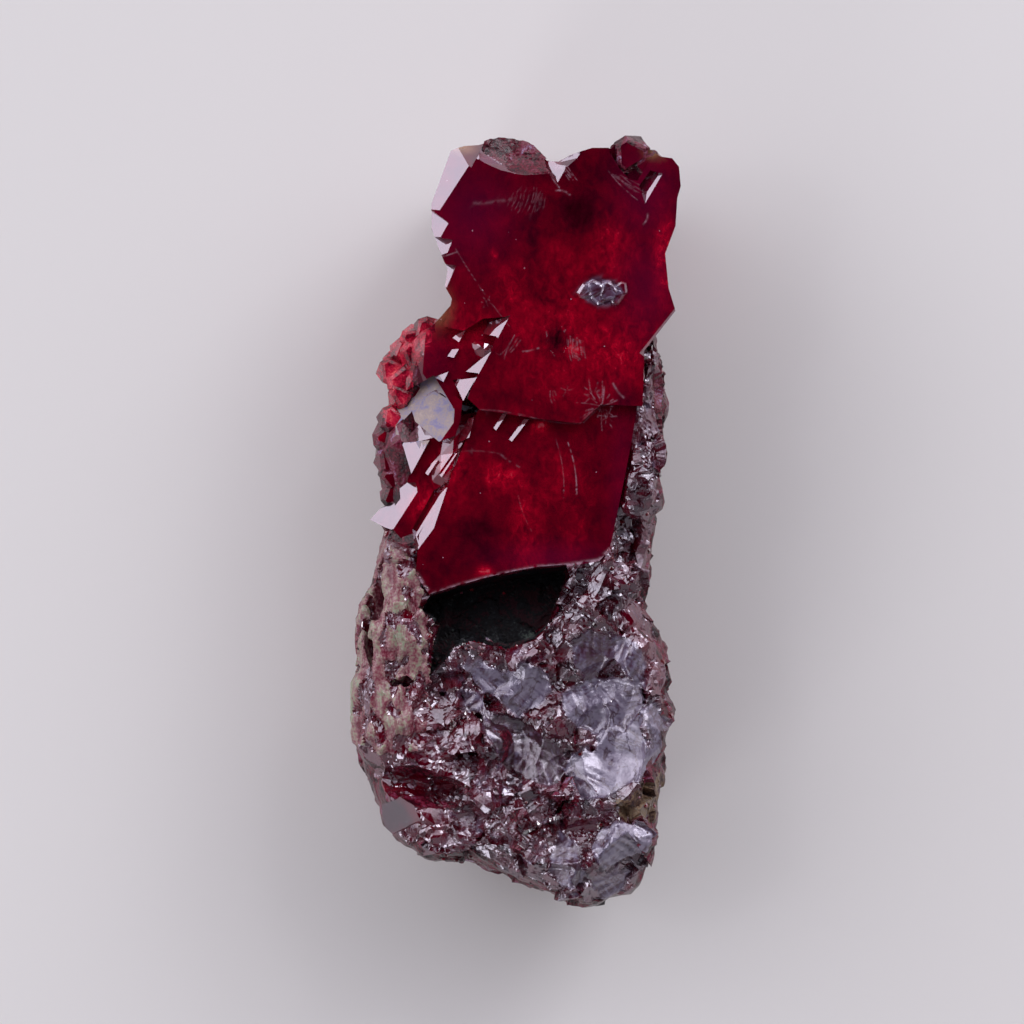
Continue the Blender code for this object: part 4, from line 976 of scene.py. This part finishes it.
shaded = add(tree, "GeometryNodeStoreNamedAttribute", {
    "Geometry": placed, "Name": "crumb_shade", "Value": shade.outputs[1],
}, data_type="FLOAT", domain="INSTANCE")
real = add(tree, "GeometryNodeRealizeInstances", {"Geometry": shaded})
finished = add(tree, "GeometryNodeSetMaterial", {"Geometry": real, "Material": crumb_cuprite})
add(tree, "NodeGroupOutput", {"Crumbs": finished})

scatter = cuprite.modifiers.new("crumbs", "NODES")
scatter.node_group = tree
for item in tree.interface.items_tree:
    if item.in_out == "INPUT" and item.name in CRUMBS:
        scatter[item.identifier] = CRUMBS[item.name]
    elif item.name == "Crumb":
        scatter[item.identifier] = crumb
graph = bpy.context.evaluated_depsgraph_get()
crumbs_mesh = bpy.data.meshes.new_from_object(cuprite.evaluated_get(graph))
cuprite.modifiers.remove(scatter)
crumbs_mesh.name = "crumbs"
crumb_points = np.empty(3 * len(crumbs_mesh.vertices), np.float32)
crumbs_mesh.vertices.foreach_get("co", crumb_points)
crumb_points = np.clip(crumb_points.reshape(-1, 3), np.array(cad_low), np.array(cad_high))
crumbs_mesh.vertices.foreach_set("co", crumb_points.ravel().astype(np.float32))
crumbs_mesh.shade_flat()
crumbs = bpy.data.objects.new("crumbs", crumbs_mesh)
bpy.context.scene.collection.objects.link(crumbs)
print("triangles in the crumbs:", len(crumbs_mesh.polygons))

# %% Say what the pieces are
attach(cuprite, "root")
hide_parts("cuprite_crystal")
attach(crumbs, "root")

# %% [markdown]
# ## Floor, light and camera
# The sky is dark straight above, because the flat front faces mirror what is overhead and must stay
# deep red. Lower down it is bright at the upper left and the right and dim elsewhere, as two large
# windows would make it, so that some chips shine and others stay dark. One soft box stands where the
# parallel flashing faces mirror it up to the camera. Four smaller ones put sharp bright points on the
# chips and the shells.

# %% Floor
FLOOR_SIZE = 2.0
bpy.ops.mesh.primitive_plane_add(size=FLOOR_SIZE)
floor = bpy.context.object
floor.name = "floor"
floor_paper, tree = new_material("pale_floor_paper")
paper = add(tree, "ShaderNodeBsdfPrincipled", {"Base Color": linear("#E6E3E0"), "Roughness": 0.7})
add(tree, "ShaderNodeOutputMaterial", {"Surface": paper})
floor.data.materials.append(floor_paper)

# %% Sky
world = bpy.data.worlds.new("studio")
bpy.context.scene.world = world
world.use_nodes = True
tree = world.node_tree
tree.nodes.clear()
way = add(tree, "ShaderNodeTexCoord").outputs["Generated"]
height = add(tree, "ShaderNodeSeparateXYZ", [way]).outputs["Z"]
by_height = add(tree, "ShaderNodeValToRGB", [height], stops=[
    (0.0, "#A8A4B4"), (1.0, "#0E0714"), (0.3, "#F4F2FC"), (0.7, "#FAF8FF"), (0.84, "#B4B0C4"),
    (0.94, "#1A0E1C"),
])
left = add(tree, "ShaderNodeVectorMath", [way, way_of(147.0, 75.0)], operation="DOT_PRODUCT").outputs["Value"]
right = add(tree, "ShaderNodeVectorMath", [way, way_of(58.0, 72.0)], operation="DOT_PRODUCT").outputs["Value"]
windows_of_light = add(tree, "ShaderNodeMath", [left, right], operation="MAXIMUM")
strength = add(tree, "ShaderNodeMapRange", {
    "Value": windows_of_light.outputs[0], "From Min": 0.55, "From Max": 0.97, "To Min": 0.34, "To Max": 2.3,
})
sky = add(tree, "ShaderNodeBackground", {"Color": by_height, "Strength": strength.outputs[0]})
add(tree, "ShaderNodeOutputWorld", {"Surface": sky})


# %% Soft boxes
BOX_DISTANCE = 0.4
BOX_COLOUR = (0.93, 0.93, 1.0)


def soft_box(name, azimuth, tilt, size, radiance):
    """A square light that looks at the specimen from an azimuth and a tilt off the vertical."""
    light = bpy.data.lights.new(name, "AREA")
    light.size = size
    light.energy = radiance * math.pi * size * size
    light.color = BOX_COLOUR
    box = bpy.data.objects.new(name, light)
    bpy.context.scene.collection.objects.link(box)
    way = way_of(azimuth, tilt)
    box.location = way * BOX_DISTANCE
    box.rotation_euler = way.to_track_quat("Z", "Y").to_euler()


soft_box("flash_box", 147.0, 70.5, 0.2, 1.05)
soft_box("right_box", 48.0, 60.0, 0.14, 5.0)
soft_box("low_box", 232.0, 64.0, 0.12, 5.0)
soft_box("high_left_box", 170.0, 36.0, 0.05, 6.0)
soft_box("high_right_box", 60.0, 44.0, 0.05, 9.0)

# %% Camera
PIXELS_PER_MM = 17.2
FRAME_PIXELS = 1024
SENSOR = 36.0
LENS = 180.0
SHARP_PLANE = 10.5
CLIP_START = 0.005
FRAME_MIDDLE = (-0.16, 0.68)
camera_data = bpy.data.cameras.new("camera")
camera_data.lens = LENS
camera_data.sensor_width = SENSOR
camera_data.clip_start = CLIP_START
camera = bpy.data.objects.new("camera", camera_data)
bpy.context.scene.collection.objects.link(camera)
frame_width = FRAME_PIXELS / PIXELS_PER_MM
camera.location = Vector((*FRAME_MIDDLE, SHARP_PLANE + frame_width * LENS / SENSOR)) * MM
bpy.context.scene.camera = camera
bpy.context.scene.view_settings.view_transform = "Standard"
